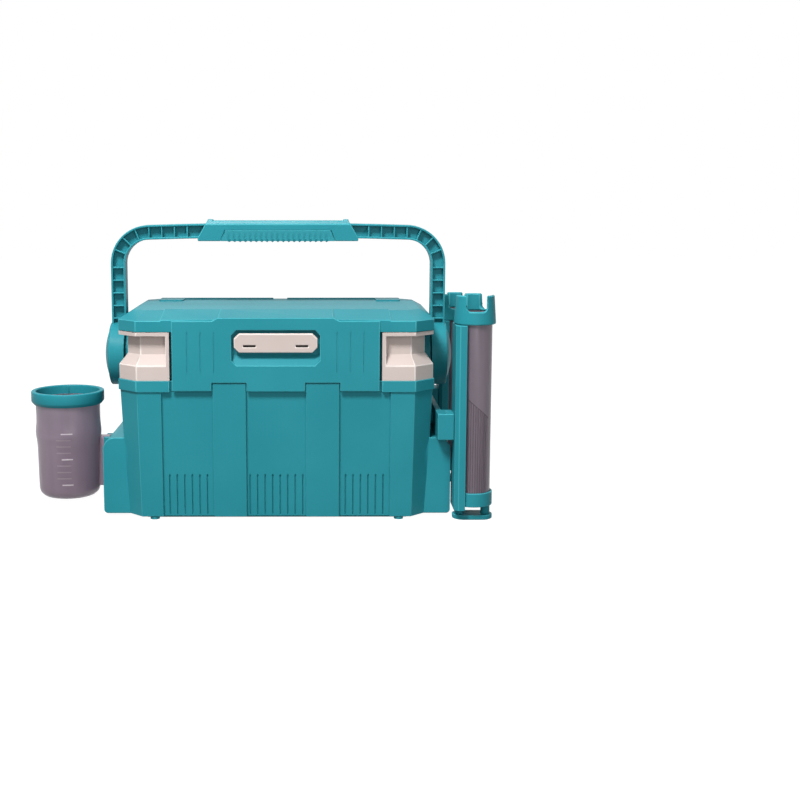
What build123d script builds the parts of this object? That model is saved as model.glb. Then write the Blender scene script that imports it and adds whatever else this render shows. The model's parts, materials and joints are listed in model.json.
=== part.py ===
from build123d import *
import os

# Seat-style tackle box, millimetres. X runs to the right, the front faces -Y, Z is up.
# The origin lies on the ground under the middle of the tub.

# General clearances and allowances
overrun = 5.0
running_gap = 0.05
slide_gap = 0.4
part_gap = 0.6
screw_gap = 0.1
corner_share = 2 - 2**0.5

# Tub
tub_width = 404.0
tub_depth = 256.0
tub_taper = 8.0
corner_cut = 25.0
ground_gap = 4.0
floor_thick = 4.0
shoulder_height = 168.5
band_height = 14.0
band_proud = 1.5
ledge_thick = 4.0
neck_height = 62.0
neck_wall = 3.0
panel_recess = 4.0
groove_depth = 2.2
tub_wall = 2.6
base_ring_inset = 14.0
base_ring_width = 6.0

# Front and rear pillars, panels and grooves
pillar_width = 42.0
pillar_spacing = 119.0
corner_pillar_width = 31.0
pillar_top_drop = 3.0
groove_width = 2.0
groove_pitch = 9.7
groove_height = 54.0
groove_rise = 2.0
side_groove_count = 6
middle_groove_count = 8

# Side skirts
skirt_overhang = 24.0
skirt_depth = 204.0
skirt_drop = 64.0
skirt_wall = 3.0
skirt_shoulder_radius = 16.0
skirt_foot_radius = 5.0
skirt_rib_count = 3

# Feet
foot_radius = 6.0
foot_inset_x = 44.0
foot_inset_y = 15.0
foot_spigot_radius = 3.0
foot_spigot_height = 3.0

# Corner panels
panel_depth = 16.0
panel_foot_height = 19.0
panel_slope_height = 14.0
panel_lip_height = 5.0
panel_hollow = 11.0
panel_inner_edge = 135.0
panel_end_width = 5.0
panel_hub_gap = 5.0

# Lid
lid_overhang = 0.5
lid_wall = 3.0
rim_height = 14.0
crown_height = 9.0
crown_side_inset = 15.0
crown_front_inset = 52.0
crown_rear_inset = 28.0
crown_corner_cut = 18.0
seal_width = 5.0
seal_height = 4.0
seat_rib_height = 1.6
seat_rib_width = 8.0
seat_rib_notch = 20.0
seat_pad_width = 34.0
seat_pad_depth = 40.0
nose_width = 146.0
nose_slant = 8.0
nose_rise = 4.0
nose_thick = 4.0
bonnet_width = 292.0
bonnet_rise = 1.4

# Apron of the lid
apron_width = 263.0
apron_proud = 2.0
apron_thick = 3.0
apron_foot_gap = 1.0
apron_rib_width = 2.0
apron_rib_depth = 0.8
apron_rib_length = 52.0
apron_rib_pitch = 17.0
apron_rib_offset = 95.0
apron_rib_count = 3
tab_gap = 1.2

# Latch
latch_width = 106.0
latch_height = 24.6
latch_thick = 5.0
latch_corner = 6.5
latch_bevel = 1.0
latch_slot_width = 16.0
latch_slot_height = 3.0
latch_slot_spacing = 66.5
latch_slot_drop = 4.0
latch_slot_depth = 2.0
latch_drop = 1.6
latch_side_gap = 3.0
pocket_top_gap = 4.0
pocket_height = 45.0
pocket_depth = 11.0
pocket_wall = 2.5
scoop_height = 13.0
scoop_setback = 0.8
latch_pin_radius = 1.5
latch_pin_length = 52.0
latch_axis_drop = 6.0
latch_axis_back = 1.5
latch_barrel_wall = 1.5
lug_width = 11.0
lug_spacing = 27.0
hook_width = 16.0
hook_thick = 3.0
hook_drop = 16.0
hook_barb = 2.0
hook_reach_gap = 0.6
window_margin = 1.5
window_height = 16.0
keeper_depth = 1.4
keeper_height = 3.5

# Rear hinge
hinge_pin_radius = 2.5
hinge_wall = 2.5
hinge_swing_gap = 1.2
hinge_spacing = 150.0
lid_knuckle_width = 26.0
tub_knuckle_width = 10.0
knuckle_gap = 0.5

# Handle
pivot_y = 6.0
pivot_drop = 43.0
handle_gap = 4.5
handle_band = 19.5
handle_depth = 22.0
handle_rise = 155.0
handle_bow = 2.8
handle_corner_radius = 52.0
handle_flange = 2.6
handle_web = 3.0
handle_rib = 2.0
handle_rib_pitch = 17.2
arm_rib_count = 5
rib_lead_share = 0.3
bar_rib_lead = 14.3
corner_rib_count = 3
hub_radius = 43.0
hub_recess_depth = 4.0
dome_rise = 10.0
dome_wall = 2.5

# Pivot of the handle
boss_radius = 32.0
stub_radius = 11.0
stub_length = 16.5
bush_wall = 4.0
pivot_screw_radius = 4.0
pivot_screw_depth = 24.0
pivot_head_radius = 18.0
pivot_head_thick = 2.4
pivot_head_gap = 2.0

# Grip
grip_top_width = 190.0
grip_bottom_width = 216.0
grip_end_height = 4.5
grip_chamfer = 4.5
grip_above = 6.0
grip_below = 1.8
grip_wall = 4.0
grip_gap = 0.3
grip_lip = 1.6
grip_lip_width = 7.0
pad_top_width = 141.0
pad_bottom_width = 154.0
pad_height = 15.0
pad_thick = 2.0
pad_proud = 0.6
scallop_count = 17
scallop_pitch = 7.3
scallop_radius = 2.4
grip_screw_radius = 1.6
grip_screw_head = 3.0
grip_screw_head_thick = 1.4
grip_screw_length = 9.0
grip_screw_spacing = 176.0

# Rail on the right side
rail_inner_gap = 5.0
rail_thick = 20.5
rail_web = 7.0
rail_block = 34.0
rail_end = 15.0
rail_height = 34.0
rail_rise = 0.6
rail_lug_radius = 10.0
rail_lug_spacing = 80.0
rail_screw_radius = 3.0
rail_screw_head = 5.5
rail_screw_head_thick = 3.0
rail_screw_bite = 5.0

# Rod holders
rod_spacing = 216.0
rod_tube_radius = 22.5
rod_tube_wall = 2.0
rod_tube_top = 268.5
rod_rear_drop = 16.0
rod_rib = 1.0
rod_rib_proud = 0.6
rod_rib_count = 9
rod_rib_first_angle = 46.0
rod_rib_last_angle = 112.0
rod_rib_top = 157.5
rod_rib_slant = 22.0
bracket_depth = 14.0
bracket_side = 3.2
bracket_bottom = 15.0
bracket_top = 253.5
bracket_corner = 5.0
bracket_web = 3.0
tongue_root = 10.0
tongue_tip = 16.0
tongue_depth = 8.0
tongue_height = 29.0
collar_height = 37.0
collar_wall = 4.5
collar_top_wall = 2.0
collar_teeth = 3
collar_notch_width = 25.0
collar_notch_radius = 5.0
collar_notch_depth = 20.0
ring_wall = 3.0
ring_height = 18.0
ring_floor = 4.0
drain_radius = 6.0
rod_foot_height = 19.0
rod_foot_plate = 6.0
rod_foot_length = 52.0
rod_foot_width = 30.0
rod_post_spacing = 34.0
rod_post_radius = 6.0

# Cup
cup_gap = 7.0
cup_y = -10.0
cup_bottom = 8.0
cup_height = 133.0
cup_top_radius = 43.5
cup_bottom_radius = 41.0
cup_wall = 2.0
cup_foot_radius = 8.0
cup_ring_wall = 5.5
cup_ring_height = 18.0
cup_ring_lip = 12.0
cup_ring_overlap = 0.8
cup_tongue_root = 12.0
cup_tongue_tip = 18.0
cup_tongue_depth = 6.0
cup_bracket_drop = 14.6
cup_bracket_width = 32.0
cup_bracket_base = 4.6
cup_bracket_bottom = 15.0
cup_bracket_floor = 6.0
cup_screw_radius = 2.5
cup_screw_head = 4.5
cup_screw_head_thick = 2.0
cup_screw_length = 7.0
cup_screw_inset = 12.0

# Heights and places that follow from the sizes above
floor_top = ground_gap + floor_thick
band_top = shoulder_height + band_height
neck_top = band_top + neck_height
lid_base = neck_top + part_gap
rim_top = lid_base + rim_height
lid_top = rim_top + crown_height
wall_inset = panel_recess + groove_depth + tub_wall
neck_width = tub_width - 2 * panel_depth
neck_depth = tub_depth - 2 * panel_depth
apron_face = tub_depth / 2 + apron_proud
apron_back = apron_face - apron_thick
apron_bottom = shoulder_height + apron_foot_gap
foot_spacing_x = tub_width - 2 * foot_inset_x
foot_spacing_y = tub_depth - 2 * foot_inset_y
hinge_radius = hinge_pin_radius + hinge_wall
hinge_axis_y = tub_depth / 2 + lid_overhang - lid_wall - knuckle_gap - hinge_radius
hinge_axis_z = neck_top
latch_top = lid_base - latch_drop
latch_middle = latch_top - latch_height / 2
latch_barrel_radius = latch_pin_radius + latch_barrel_wall
pocket_width = latch_width + 2 * latch_side_gap
latch_back = apron_face - latch_thick
latch_axis_y = latch_axis_back - latch_back
latch_axis_z = latch_top - latch_axis_drop
pocket_top = latch_top + pocket_top_gap
pocket_middle = pocket_top - pocket_height / 2
pivot_height = neck_top - pivot_drop
arm_inner = tub_width / 2 + handle_gap
arm_outer = arm_inner + handle_band
arm_middle = (arm_inner + arm_outer) / 2
bar_under = pivot_height + handle_rise
bar_top = bar_under + handle_band
hub_recess_radius = pivot_head_radius + pivot_head_gap
grip_depth = handle_depth + 2 * grip_wall
skirt_edge = tub_width / 2 + skirt_overhang
skirt_height = shoulder_height - skirt_drop
rail_inner = tub_width / 2 + rail_inner_gap
rail_outer = rail_inner + rail_thick
rail_web_face = rail_inner + rail_web
rail_bottom = skirt_height + rail_rise
rail_top = rail_bottom + rail_height
rail_length = rod_spacing + 2 * rail_end
bracket_back = rail_outer + part_gap
rod_x = bracket_back + bracket_web + rod_tube_radius + slide_gap
ring_bottom = rod_foot_height
ring_top = ring_bottom + ring_height
ring_radius = rod_tube_radius + ring_wall
collar_radius = rod_tube_radius + collar_wall
collar_top_radius = rod_tube_radius + collar_top_wall
cup_top = cup_bottom + cup_height
cup_bracket_face = skirt_edge + cup_bracket_base + cup_tongue_depth + slide_gap
cup_x = -(cup_bracket_face + cup_gap + cup_top_radius)
cup_ring_radius = cup_top_radius + cup_ring_wall
cup_ring_inner = cup_top_radius - cup_ring_overlap
tongue_bottom = rail_top - tongue_height
cup_tongue_bottom = cup_bracket_bottom + cup_bracket_floor + slide_gap
cup_tongue_height = skirt_height - cup_bracket_drop - cup_tongue_bottom
cup_screw_spacing = cup_tongue_height - 2 * cup_screw_inset


def octagon(height, width, depth, inset):
    """Rectangle with cut corners on a level plane, drawn in evenly by the inset."""
    with BuildSketch(Plane.XY.offset(height)) as outline:
        Rectangle(width - 2 * inset, depth - 2 * inset)
        chamfer(outline.vertices(), length=corner_cut - corner_share * inset)
    return outline.sketch


def tub_section(height, inset):
    """Level section of the tapering lower tub, drawn in by the inset."""
    draw_in = tub_taper * (band_top - height) / (band_top - ground_gap)
    return octagon(height, tub_width, tub_depth, inset + draw_in)


def block(plane, width, height, amount):
    """Rectangle on a plane, extruded along the plane's normal."""
    with BuildPart() as solid:
        with BuildSketch(plane):
            Rectangle(width, height)
        extrude(amount=amount)
    return solid.part


def side_plane(x, y, z):
    """Plane that looks along +X at a point, with Y across and Z up."""
    return Plane(origin=(x, y, z), x_dir=(0, 1, 0), z_dir=(1, 0, 0))


def front_plane(x, y, z):
    """Plane that faces the front at a point, with X across and Z up."""
    return Plane(origin=(x, y, z), x_dir=(1, 0, 0), z_dir=(0, -1, 0))


def dovetail(plane, root, tip, depth, gap, amount):
    """Prism that widens from its root to its tip, made larger by the gap all round."""
    with BuildPart() as solid:
        with BuildSketch(plane):
            with BuildLine():
                Polyline(
                    (-depth - gap, -tip / 2 - gap),
                    (-depth - gap, tip / 2 + gap),
                    (0, root / 2 + gap),
                    (0, -root / 2 - gap),
                    close=True,
                )
            make_face()
        extrude(amount=amount)
    return solid.part


# Outer form of the lower tub, used again wherever something meets its side
with BuildPart() as tub_form:
    loft([tub_section(ground_gap, 0), tub_section(band_top, 0)], ruled=True)

# Sunk panels between the pillars, on the front and the rear
pillar_inner_edge = (pillar_spacing - pillar_width) / 2
pillar_outer_edge = (pillar_spacing + pillar_width) / 2
corner_pillar_edge = tub_width / 2 - corner_cut - corner_pillar_width
side_panel_width = corner_pillar_edge - pillar_outer_edge
side_panel_middle = (corner_pillar_edge + pillar_outer_edge) / 2
with BuildPart() as panel_cuts:
    with BuildSketch(Plane.XZ):
        for centre, width in (
            (-side_panel_middle, side_panel_width),
            (0, 2 * pillar_inner_edge),
            (side_panel_middle, side_panel_width),
        ):
            with Locations((centre, band_top / 2)):
                Rectangle(width, band_top + 2 * overrun)
    extrude(amount=tub_depth, both=True)
    loft(
        [tub_section(-2 * overrun, panel_recess), tub_section(band_top + 2 * overrun, panel_recess)],
        ruled=True,
        mode=Mode.SUBTRACT,
    )

# Upright grooves in the foot of each sunk panel, square to its leaning face
groove_plane = Plane(
    origin=(0, tub_taper + panel_recess - tub_depth / 2, ground_gap),
    x_dir=(1, 0, 0),
    z_dir=(0, ground_gap - band_top, -tub_taper),
)
with BuildPart() as groove_cuts:
    with BuildSketch(groove_plane.offset(panel_recess / 2)):
        for centre, count in (
            (-side_panel_middle, side_groove_count),
            (0, middle_groove_count),
            (side_panel_middle, side_groove_count),
        ):
            with Locations((centre, groove_rise + groove_height / 2)):
                with GridLocations(groove_pitch, 0, count, 1):
                    SlotOverall(groove_height, groove_width, rotation=90)
    extrude(amount=-(panel_recess / 2 + groove_depth))
    mirror(about=Plane.XZ)

# One side skirt: a ribbed shell open underneath
skirt_root = tub_width / 2 - tub_taper - tub_wall
skirt_hollow = tub_width / 2 - tub_taper
with BuildPart() as skirt:
    with BuildSketch(Plane.XZ):
        with Locations(((skirt_root + skirt_edge) / 2, (ground_gap + skirt_height) / 2)):
            Rectangle(skirt_edge - skirt_root, skirt_height - ground_gap)
    extrude(amount=skirt_depth / 2, both=True)
    outer_edges = skirt.edges().filter_by(Axis.Y).group_by(Axis.X)[-1].sort_by(Axis.Z)
    fillet(outer_edges[-1], radius=skirt_shoulder_radius)
    outer_edges = skirt.edges().filter_by(Axis.Y).group_by(Axis.Z)[0].sort_by(Axis.X)
    fillet(outer_edges[-1], radius=skirt_foot_radius)
    cell_count = skirt_rib_count + 1
    cell_depth = (skirt_depth - skirt_wall * (cell_count + 1)) / cell_count
    cell_top = skirt_height - skirt_shoulder_radius
    with BuildSketch(Plane.XY.offset(-overrun)):
        with Locations(((skirt_hollow + skirt_edge - skirt_wall) / 2, 0)):
            with GridLocations(0, cell_depth + skirt_wall, 1, cell_count):
                Rectangle(skirt_edge - skirt_wall - skirt_hollow, cell_depth)
    extrude(amount=cell_top + overrun, mode=Mode.SUBTRACT)

# Room in the band for the hanging apron, and the two pillar heads that stand in it
apron_gap = block(
    front_plane(0, -(tub_depth / 2 - panel_recess), shoulder_height + band_height / 2),
    2 * panel_inner_edge,
    band_height + 2 * part_gap,
    panel_recess + band_proud + overrun,
)
with BuildPart() as pillar_heads:
    with BuildSketch(Plane.XZ):
        for side in (-1, 1):
            with Locations((side * pillar_spacing / 2, shoulder_height)):
                Rectangle(pillar_width, 2 * (band_height - pillar_top_drop))
    extrude(amount=tub_depth)
    add(tub_form.part, mode=Mode.INTERSECT)

# Tub with its neck, bands, skirts, handle bosses and hinge knuckles
with BuildPart() as tub:
    add(tub_form.part)
    add(panel_cuts.part, mode=Mode.SUBTRACT)
    add(groove_cuts.part, mode=Mode.SUBTRACT)
    # tops of the two front pillars end below the band
    add(
        block(Plane((0, -tub_depth / 2, band_top)), apron_width, 2 * panel_recess, -pillar_top_drop),
        mode=Mode.SUBTRACT,
    )
    extrude(octagon(shoulder_height, tub_width, tub_depth, -band_proud), amount=band_height)
    add(apron_gap, mode=Mode.SUBTRACT)
    add(pillar_heads.part)
    neck_section = octagon(band_top - ledge_thick, tub_width, tub_depth, panel_depth)
    extrude(neck_section, amount=neck_height + ledge_thick)
    loft(
        [tub_section(floor_top, wall_inset), tub_section(band_top - ledge_thick, wall_inset)],
        ruled=True,
        mode=Mode.SUBTRACT,
    )
    neck_bore = octagon(floor_top, tub_width, tub_depth, panel_depth + neck_wall)
    extrude(neck_bore, amount=neck_top - floor_top + overrun, mode=Mode.SUBTRACT)
    # ring under the floor that the box stands on
    with BuildSketch(Plane.XY) as base_ring:
        add(tub_section(ground_gap, base_ring_inset).moved(Pos(0, 0, -ground_gap)))
        add(tub_section(ground_gap, base_ring_inset + base_ring_width).moved(Pos(0, 0, -ground_gap)),
            mode=Mode.SUBTRACT)
    extrude(amount=ground_gap + floor_thick / 2)
    add(skirt.part)
    add(mirror(skirt.part, about=Plane.YZ, mode=Mode.PRIVATE))
    # bosses and stubs that carry the handle
    for side in (-1, 1):
        neck_side = side_plane(side * (neck_width / 2 - neck_wall), pivot_y, pivot_height)
        with BuildSketch(neck_side):
            Circle(boss_radius)
        extrude(amount=side * (arm_inner - part_gap - neck_width / 2 + neck_wall))
        with BuildSketch(neck_side):
            Circle(stub_radius)
        extrude(amount=side * (arm_inner + stub_length - neck_width / 2 + neck_wall))
        with BuildSketch(side_plane(side * (arm_inner + stub_length), pivot_y, pivot_height)):
            Circle(pivot_screw_radius)
        extrude(amount=-side * pivot_screw_depth, mode=Mode.SUBTRACT)
    # hinge knuckles on the rear of the neck
    for side in (-1, 1):
        for end in (-1, 1):
            knuckle_x = side * hinge_spacing / 2 + end * (
                lid_knuckle_width / 2 + knuckle_gap + tub_knuckle_width / 2
            )
            with BuildSketch(side_plane(knuckle_x - tub_knuckle_width / 2, hinge_axis_y, hinge_axis_z)):
                Circle(hinge_radius)
                arm_length = hinge_axis_y - neck_depth / 2 + neck_wall / 2
                with Locations((-arm_length / 2, -hinge_radius / 2)):
                    Rectangle(arm_length, hinge_radius)
                Circle(hinge_pin_radius, mode=Mode.SUBTRACT)
            extrude(amount=tub_knuckle_width)
    # keeper bead that the latch hook snaps under
    keeper_z = latch_top - hook_drop + hook_thick + hook_barb + keeper_height / 2
    keeper_plane = front_plane(0, -neck_depth / 2, keeper_z)
    add(block(keeper_plane, hook_width, keeper_height, keeper_depth))
    # holes for the feet, the rail screws and the cup bracket screws
    with BuildSketch(Plane.XY.offset(ground_gap)):
        with GridLocations(foot_spacing_x, foot_spacing_y, 2, 2):
            Circle(foot_spigot_radius + screw_gap)
    extrude(amount=foot_spigot_height + screw_gap, mode=Mode.SUBTRACT)
    rail_middle = (rail_bottom + rail_top) / 2
    with BuildSketch(side_plane(rail_inner, 0, rail_middle)):
        with GridLocations(rail_lug_spacing, 0, 2, 1):
            Circle(rail_screw_radius + screw_gap)
    extrude(amount=-(rail_inner_gap + tub_taper + rail_screw_bite), mode=Mode.SUBTRACT)
    cup_screw_height = cup_tongue_bottom + cup_tongue_height / 2
    with BuildSketch(side_plane(-skirt_edge, cup_y, cup_screw_height)):
        with GridLocations(0, cup_screw_spacing, 1, 2):
            Circle(cup_screw_radius + screw_gap)
    extrude(amount=skirt_wall, mode=Mode.SUBTRACT)

# Feet pressed into the floor
with BuildPart() as feet:
    with BuildSketch(Plane.XY):
        with GridLocations(foot_spacing_x, foot_spacing_y, 2, 2):
            Circle(foot_radius)
    extrude(amount=ground_gap)
    with BuildSketch(Plane.XY.offset(ground_gap)):
        with GridLocations(foot_spacing_x, foot_spacing_y, 2, 2):
            Circle(foot_spigot_radius)
    extrude(amount=foot_spigot_height)

# Ring that the four corner panels are cut from: proud foot, slope, hollow and lip
slope_base = band_top + panel_foot_height
hollow_base = slope_base + panel_slope_height
lip_base = neck_top - panel_lip_height
with BuildPart() as panel_ring:
    extrude(octagon(band_top, tub_width, tub_depth, 0), amount=panel_foot_height)
    loft(
        [
            octagon(slope_base, tub_width, tub_depth, 0),
            octagon(hollow_base, tub_width, tub_depth, panel_hollow),
        ],
        ruled=True,
    )
    extrude(octagon(hollow_base, tub_width, tub_depth, panel_hollow), amount=lip_base - hollow_base)
    extrude(octagon(lip_base, tub_width, tub_depth, 0), amount=panel_lip_height)
    extrude(
        octagon(band_top, tub_width, tub_depth, panel_depth),
        amount=neck_height,
        mode=Mode.SUBTRACT,
    )

# Room behind the hinge for the rear edge of the opening lid
lid_swing = tub_depth / 2 + lid_overhang - hinge_axis_y + hinge_swing_gap
swing_plane = Plane((0, hinge_axis_y - hinge_swing_gap + panel_depth / 2, hinge_axis_z - lid_swing))
swing_room = block(swing_plane, tub_width, panel_depth, lid_swing + overrun)

panel_front_end = pivot_y - hub_radius - panel_hub_gap
panel_rear_end = pivot_y + hub_radius + panel_hub_gap
corner_panels = {}
for end_name, end, near, far in (
    ("front", -1, panel_front_end, -tub_depth / 2 - overrun),
    ("rear", 1, panel_rear_end, tub_depth / 2 + overrun),
):
    for side_name, side in (("left", -1), ("right", 1)):
        with BuildPart() as corner_panel:
            with BuildSketch(Plane.XY.offset(band_top)):
                reach = tub_width / 2 + overrun - panel_inner_edge
                with Locations((side * (panel_inner_edge + reach / 2), (near + far) / 2)):
                    Rectangle(reach, abs(far - near))
            extrude(amount=neck_height)
            add(panel_ring.part, mode=Mode.INTERSECT)
            # upright strip that closes the hollow beside the apron
            strip_x = side * (panel_inner_edge + panel_end_width / 2)
            strip_plane = Plane((strip_x, end * (tub_depth - panel_depth) / 2, band_top))
            add(block(strip_plane, panel_end_width, panel_depth, neck_height))
            add(swing_room, mode=Mode.SUBTRACT)
        corner_panels[f"corner_panel_{end_name}_{side_name}"] = corner_panel.part

# Crown of the lid: a long slope at the front, short ones elsewhere, flat on top
crown_middle = (crown_front_inset - crown_rear_inset) / 2
crown_depth = tub_depth + 2 * lid_overhang - crown_front_inset - crown_rear_inset
lid_width = tub_width + 2 * lid_overhang
lid_depth = tub_depth + 2 * lid_overhang


def crown_outline(height, inset):
    """Flat top of the lid, drawn in by the inset."""
    with BuildSketch(Plane.XY.offset(height)) as outline:
        with Locations((0, crown_middle)):
            Rectangle(lid_width - 2 * crown_side_inset - 2 * inset, crown_depth - 2 * inset)
        chamfer(outline.vertices(), length=crown_corner_cut - corner_share * inset)
    return outline.sketch


with BuildPart() as lid_form:
    extrude(octagon(lid_base, lid_width, lid_depth, 0), amount=rim_height)
    loft([octagon(rim_top, lid_width, lid_depth, 0), crown_outline(lid_top, 0)], ruled=True)

# Hollow of the lid, with the rib that presses the seal left standing
seal_outer = panel_depth + neck_wall / 2 - seal_width / 2
with BuildPart() as lid_hollow:
    rim_section = octagon(lid_base - overrun, lid_width, lid_depth, lid_wall)
    extrude(rim_section, amount=rim_height - lid_wall + overrun)
    loft(
        [
            octagon(rim_top - lid_wall, lid_width, lid_depth, lid_wall),
            crown_outline(lid_top - lid_wall, lid_wall),
        ],
        ruled=True,
    )
    seal_level = lid_base + seal_height
    with BuildSketch(Plane.XY.offset(seal_level)) as rib_ring:
        add(octagon(0, tub_width, tub_depth, seal_outer))
        add(octagon(0, tub_width, tub_depth, seal_outer + seal_width), mode=Mode.SUBTRACT)
    extrude(amount=lid_top - seal_level, mode=Mode.SUBTRACT)

# Lid with its apron, latch pocket, raised nose, seat ribs and knuckles
nose_front_top = rim_top + nose_rise
apron_height = rim_top - apron_bottom
with BuildPart() as lid:
    add(lid_form.part)
    add(lid_hollow.part, mode=Mode.SUBTRACT)
    # raised bonnet over the front slope, as thick as the nose that stands on it
    nose_rear = -(lid_depth / 2 - crown_front_inset)
    with BuildSketch(Plane.YZ.offset(-bonnet_width / 2)):
        with BuildLine():
            Polyline(
                (-lid_depth / 2, rim_top + bonnet_rise - nose_thick),
                (-lid_depth / 2, rim_top + bonnet_rise),
                (nose_rear, lid_top + bonnet_rise),
                (nose_rear, lid_top + bonnet_rise - nose_thick),
                close=True,
            )
        make_face()
    extrude(amount=bonnet_width)
    # raised middle of the bonnet
    with BuildSketch(Plane.YZ.offset(-nose_width / 2)):
        with BuildLine():
            Polyline(
                (-apron_face, nose_front_top - nose_thick),
                (-apron_face, nose_front_top),
                (nose_rear, lid_top + bonnet_rise),
                (nose_rear, lid_top - nose_thick),
                close=True,
            )
        make_face()
    extrude(amount=nose_width)
    # hanging apron
    with BuildSketch(front_plane(0, -apron_back, 0)):
        with Locations((0, apron_bottom + apron_height / 2)):
            Rectangle(apron_width, apron_height)
        with BuildLine():
            Polyline(
                (-nose_width / 2 - nose_slant, rim_top),
                (-nose_width / 2, nose_front_top),
                (nose_width / 2, nose_front_top),
                (nose_width / 2 + nose_slant, rim_top),
                close=True,
            )
        make_face()
        for side in (-1, 1):
            with Locations((side * pillar_spacing / 2, apron_bottom)):
                Rectangle(
                    pillar_width + 2 * tab_gap,
                    2 * (band_top - pillar_top_drop + tab_gap - apron_bottom),
                    mode=Mode.SUBTRACT,
                )
    extrude(amount=apron_thick)
    # slim grooves at each end of the apron
    with BuildSketch(front_plane(0, -apron_face, latch_middle - latch_height / 2)):
        for side in (-1, 1):
            with Locations((side * apron_rib_offset, 0)):
                with GridLocations(apron_rib_pitch, 0, apron_rib_count, 1):
                    SlotOverall(apron_rib_length, apron_rib_width, rotation=90)
    extrude(amount=-apron_rib_depth, mode=Mode.SUBTRACT)
    # pocket behind the latch plate, with room for fingers under it
    with BuildSketch(front_plane(0, -apron_back, pocket_middle)) as pocket_shell:
        Rectangle(pocket_width + 2 * pocket_wall, pocket_height + 2 * pocket_wall)
        chamfer(pocket_shell.vertices(), length=latch_corner)
    extrude(amount=-(pocket_depth + pocket_wall - apron_thick))
    with BuildSketch(front_plane(0, -apron_face, pocket_middle)) as pocket_room:
        Rectangle(pocket_width, pocket_height)
        chamfer(pocket_room.vertices(), length=latch_corner)
    extrude(amount=-pocket_depth, mode=Mode.SUBTRACT)
    # sloping floor of the pocket
    with BuildSketch(side_plane(-pocket_width / 2, -(apron_face - pocket_depth), pocket_top - pocket_height)):
        with BuildLine():
            Polyline(
                (0, 0),
                (0, scoop_height),
                (scoop_setback - pocket_depth, 0),
                close=True,
            )
        make_face()
    extrude(amount=pocket_width)
    with BuildSketch(front_plane(0, -(apron_face - pocket_depth), latch_top - hook_drop)):
        Rectangle(hook_width + 2 * window_margin, window_height)
    extrude(amount=-pocket_wall, mode=Mode.SUBTRACT)
    # lugs that hold the latch pin
    lug_reach = latch_axis_y + apron_face - pocket_depth
    for side in (-1, 1):
        with BuildSketch(side_plane(side * lug_spacing / 2 - lug_width / 2, latch_axis_y, latch_axis_z)):
            Circle(latch_barrel_radius)
            with Locations((-lug_reach / 2, 0)):
                Rectangle(-lug_reach, 2 * latch_barrel_radius)
            Circle(latch_pin_radius, mode=Mode.SUBTRACT)
        extrude(amount=lug_width)
    # ribs and pads along the rear of the seat
    rib_y = lid_depth / 2 - crown_rear_inset - seat_rib_width
    rib_length = lid_width / 2 - crown_side_inset - crown_corner_cut - seat_rib_notch / 2
    for side in (-1, 1):
        with BuildSketch(Plane.XY.offset(lid_top)):
            with Locations((side * (seat_rib_notch + rib_length) / 2, rib_y)):
                Rectangle(rib_length, seat_rib_width)
        extrude(amount=seat_rib_height)
        with BuildSketch(Plane.XY.offset(lid_top)):
            pad_x = seat_rib_notch / 2 + rib_length - seat_pad_width / 2
            with Locations((side * pad_x, rib_y + seat_rib_width / 2 - seat_pad_depth / 2)):
                RectangleRounded(seat_pad_width, seat_pad_depth, seat_rib_width / 2)
        extrude(amount=seat_rib_height)
    # hinge knuckles under the rear of the crown
    for side in (-1, 1):
        with BuildSketch(
            side_plane(side * hinge_spacing / 2 - lid_knuckle_width / 2, hinge_axis_y, hinge_axis_z)
        ):
            Circle(hinge_radius)
            with Locations((0, (rim_top - hinge_axis_z) / 2)):
                Rectangle(2 * hinge_radius, rim_top - hinge_axis_z)
            Circle(hinge_pin_radius + running_gap, mode=Mode.SUBTRACT)
        extrude(amount=lid_knuckle_width)

# Seal in the lid, resting just above the neck
with BuildPart() as lid_seal:
    with BuildSketch(Plane.XY.offset(lid_base - part_gap / 2)):
        add(octagon(0, tub_width, tub_depth, seal_outer))
        add(octagon(0, tub_width, tub_depth, seal_outer + seal_width), mode=Mode.SUBTRACT)
    extrude(amount=seal_height + part_gap / 2)

# Steel pins of the rear hinge
hinge_pin_length = lid_knuckle_width + 2 * (knuckle_gap + tub_knuckle_width)
with BuildPart() as hinge_pins:
    for side in (-1, 1):
        with BuildSketch(
            side_plane(side * hinge_spacing / 2 - hinge_pin_length / 2, hinge_axis_y, hinge_axis_z)
        ):
            Circle(hinge_pin_radius)
        extrude(amount=hinge_pin_length)

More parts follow.
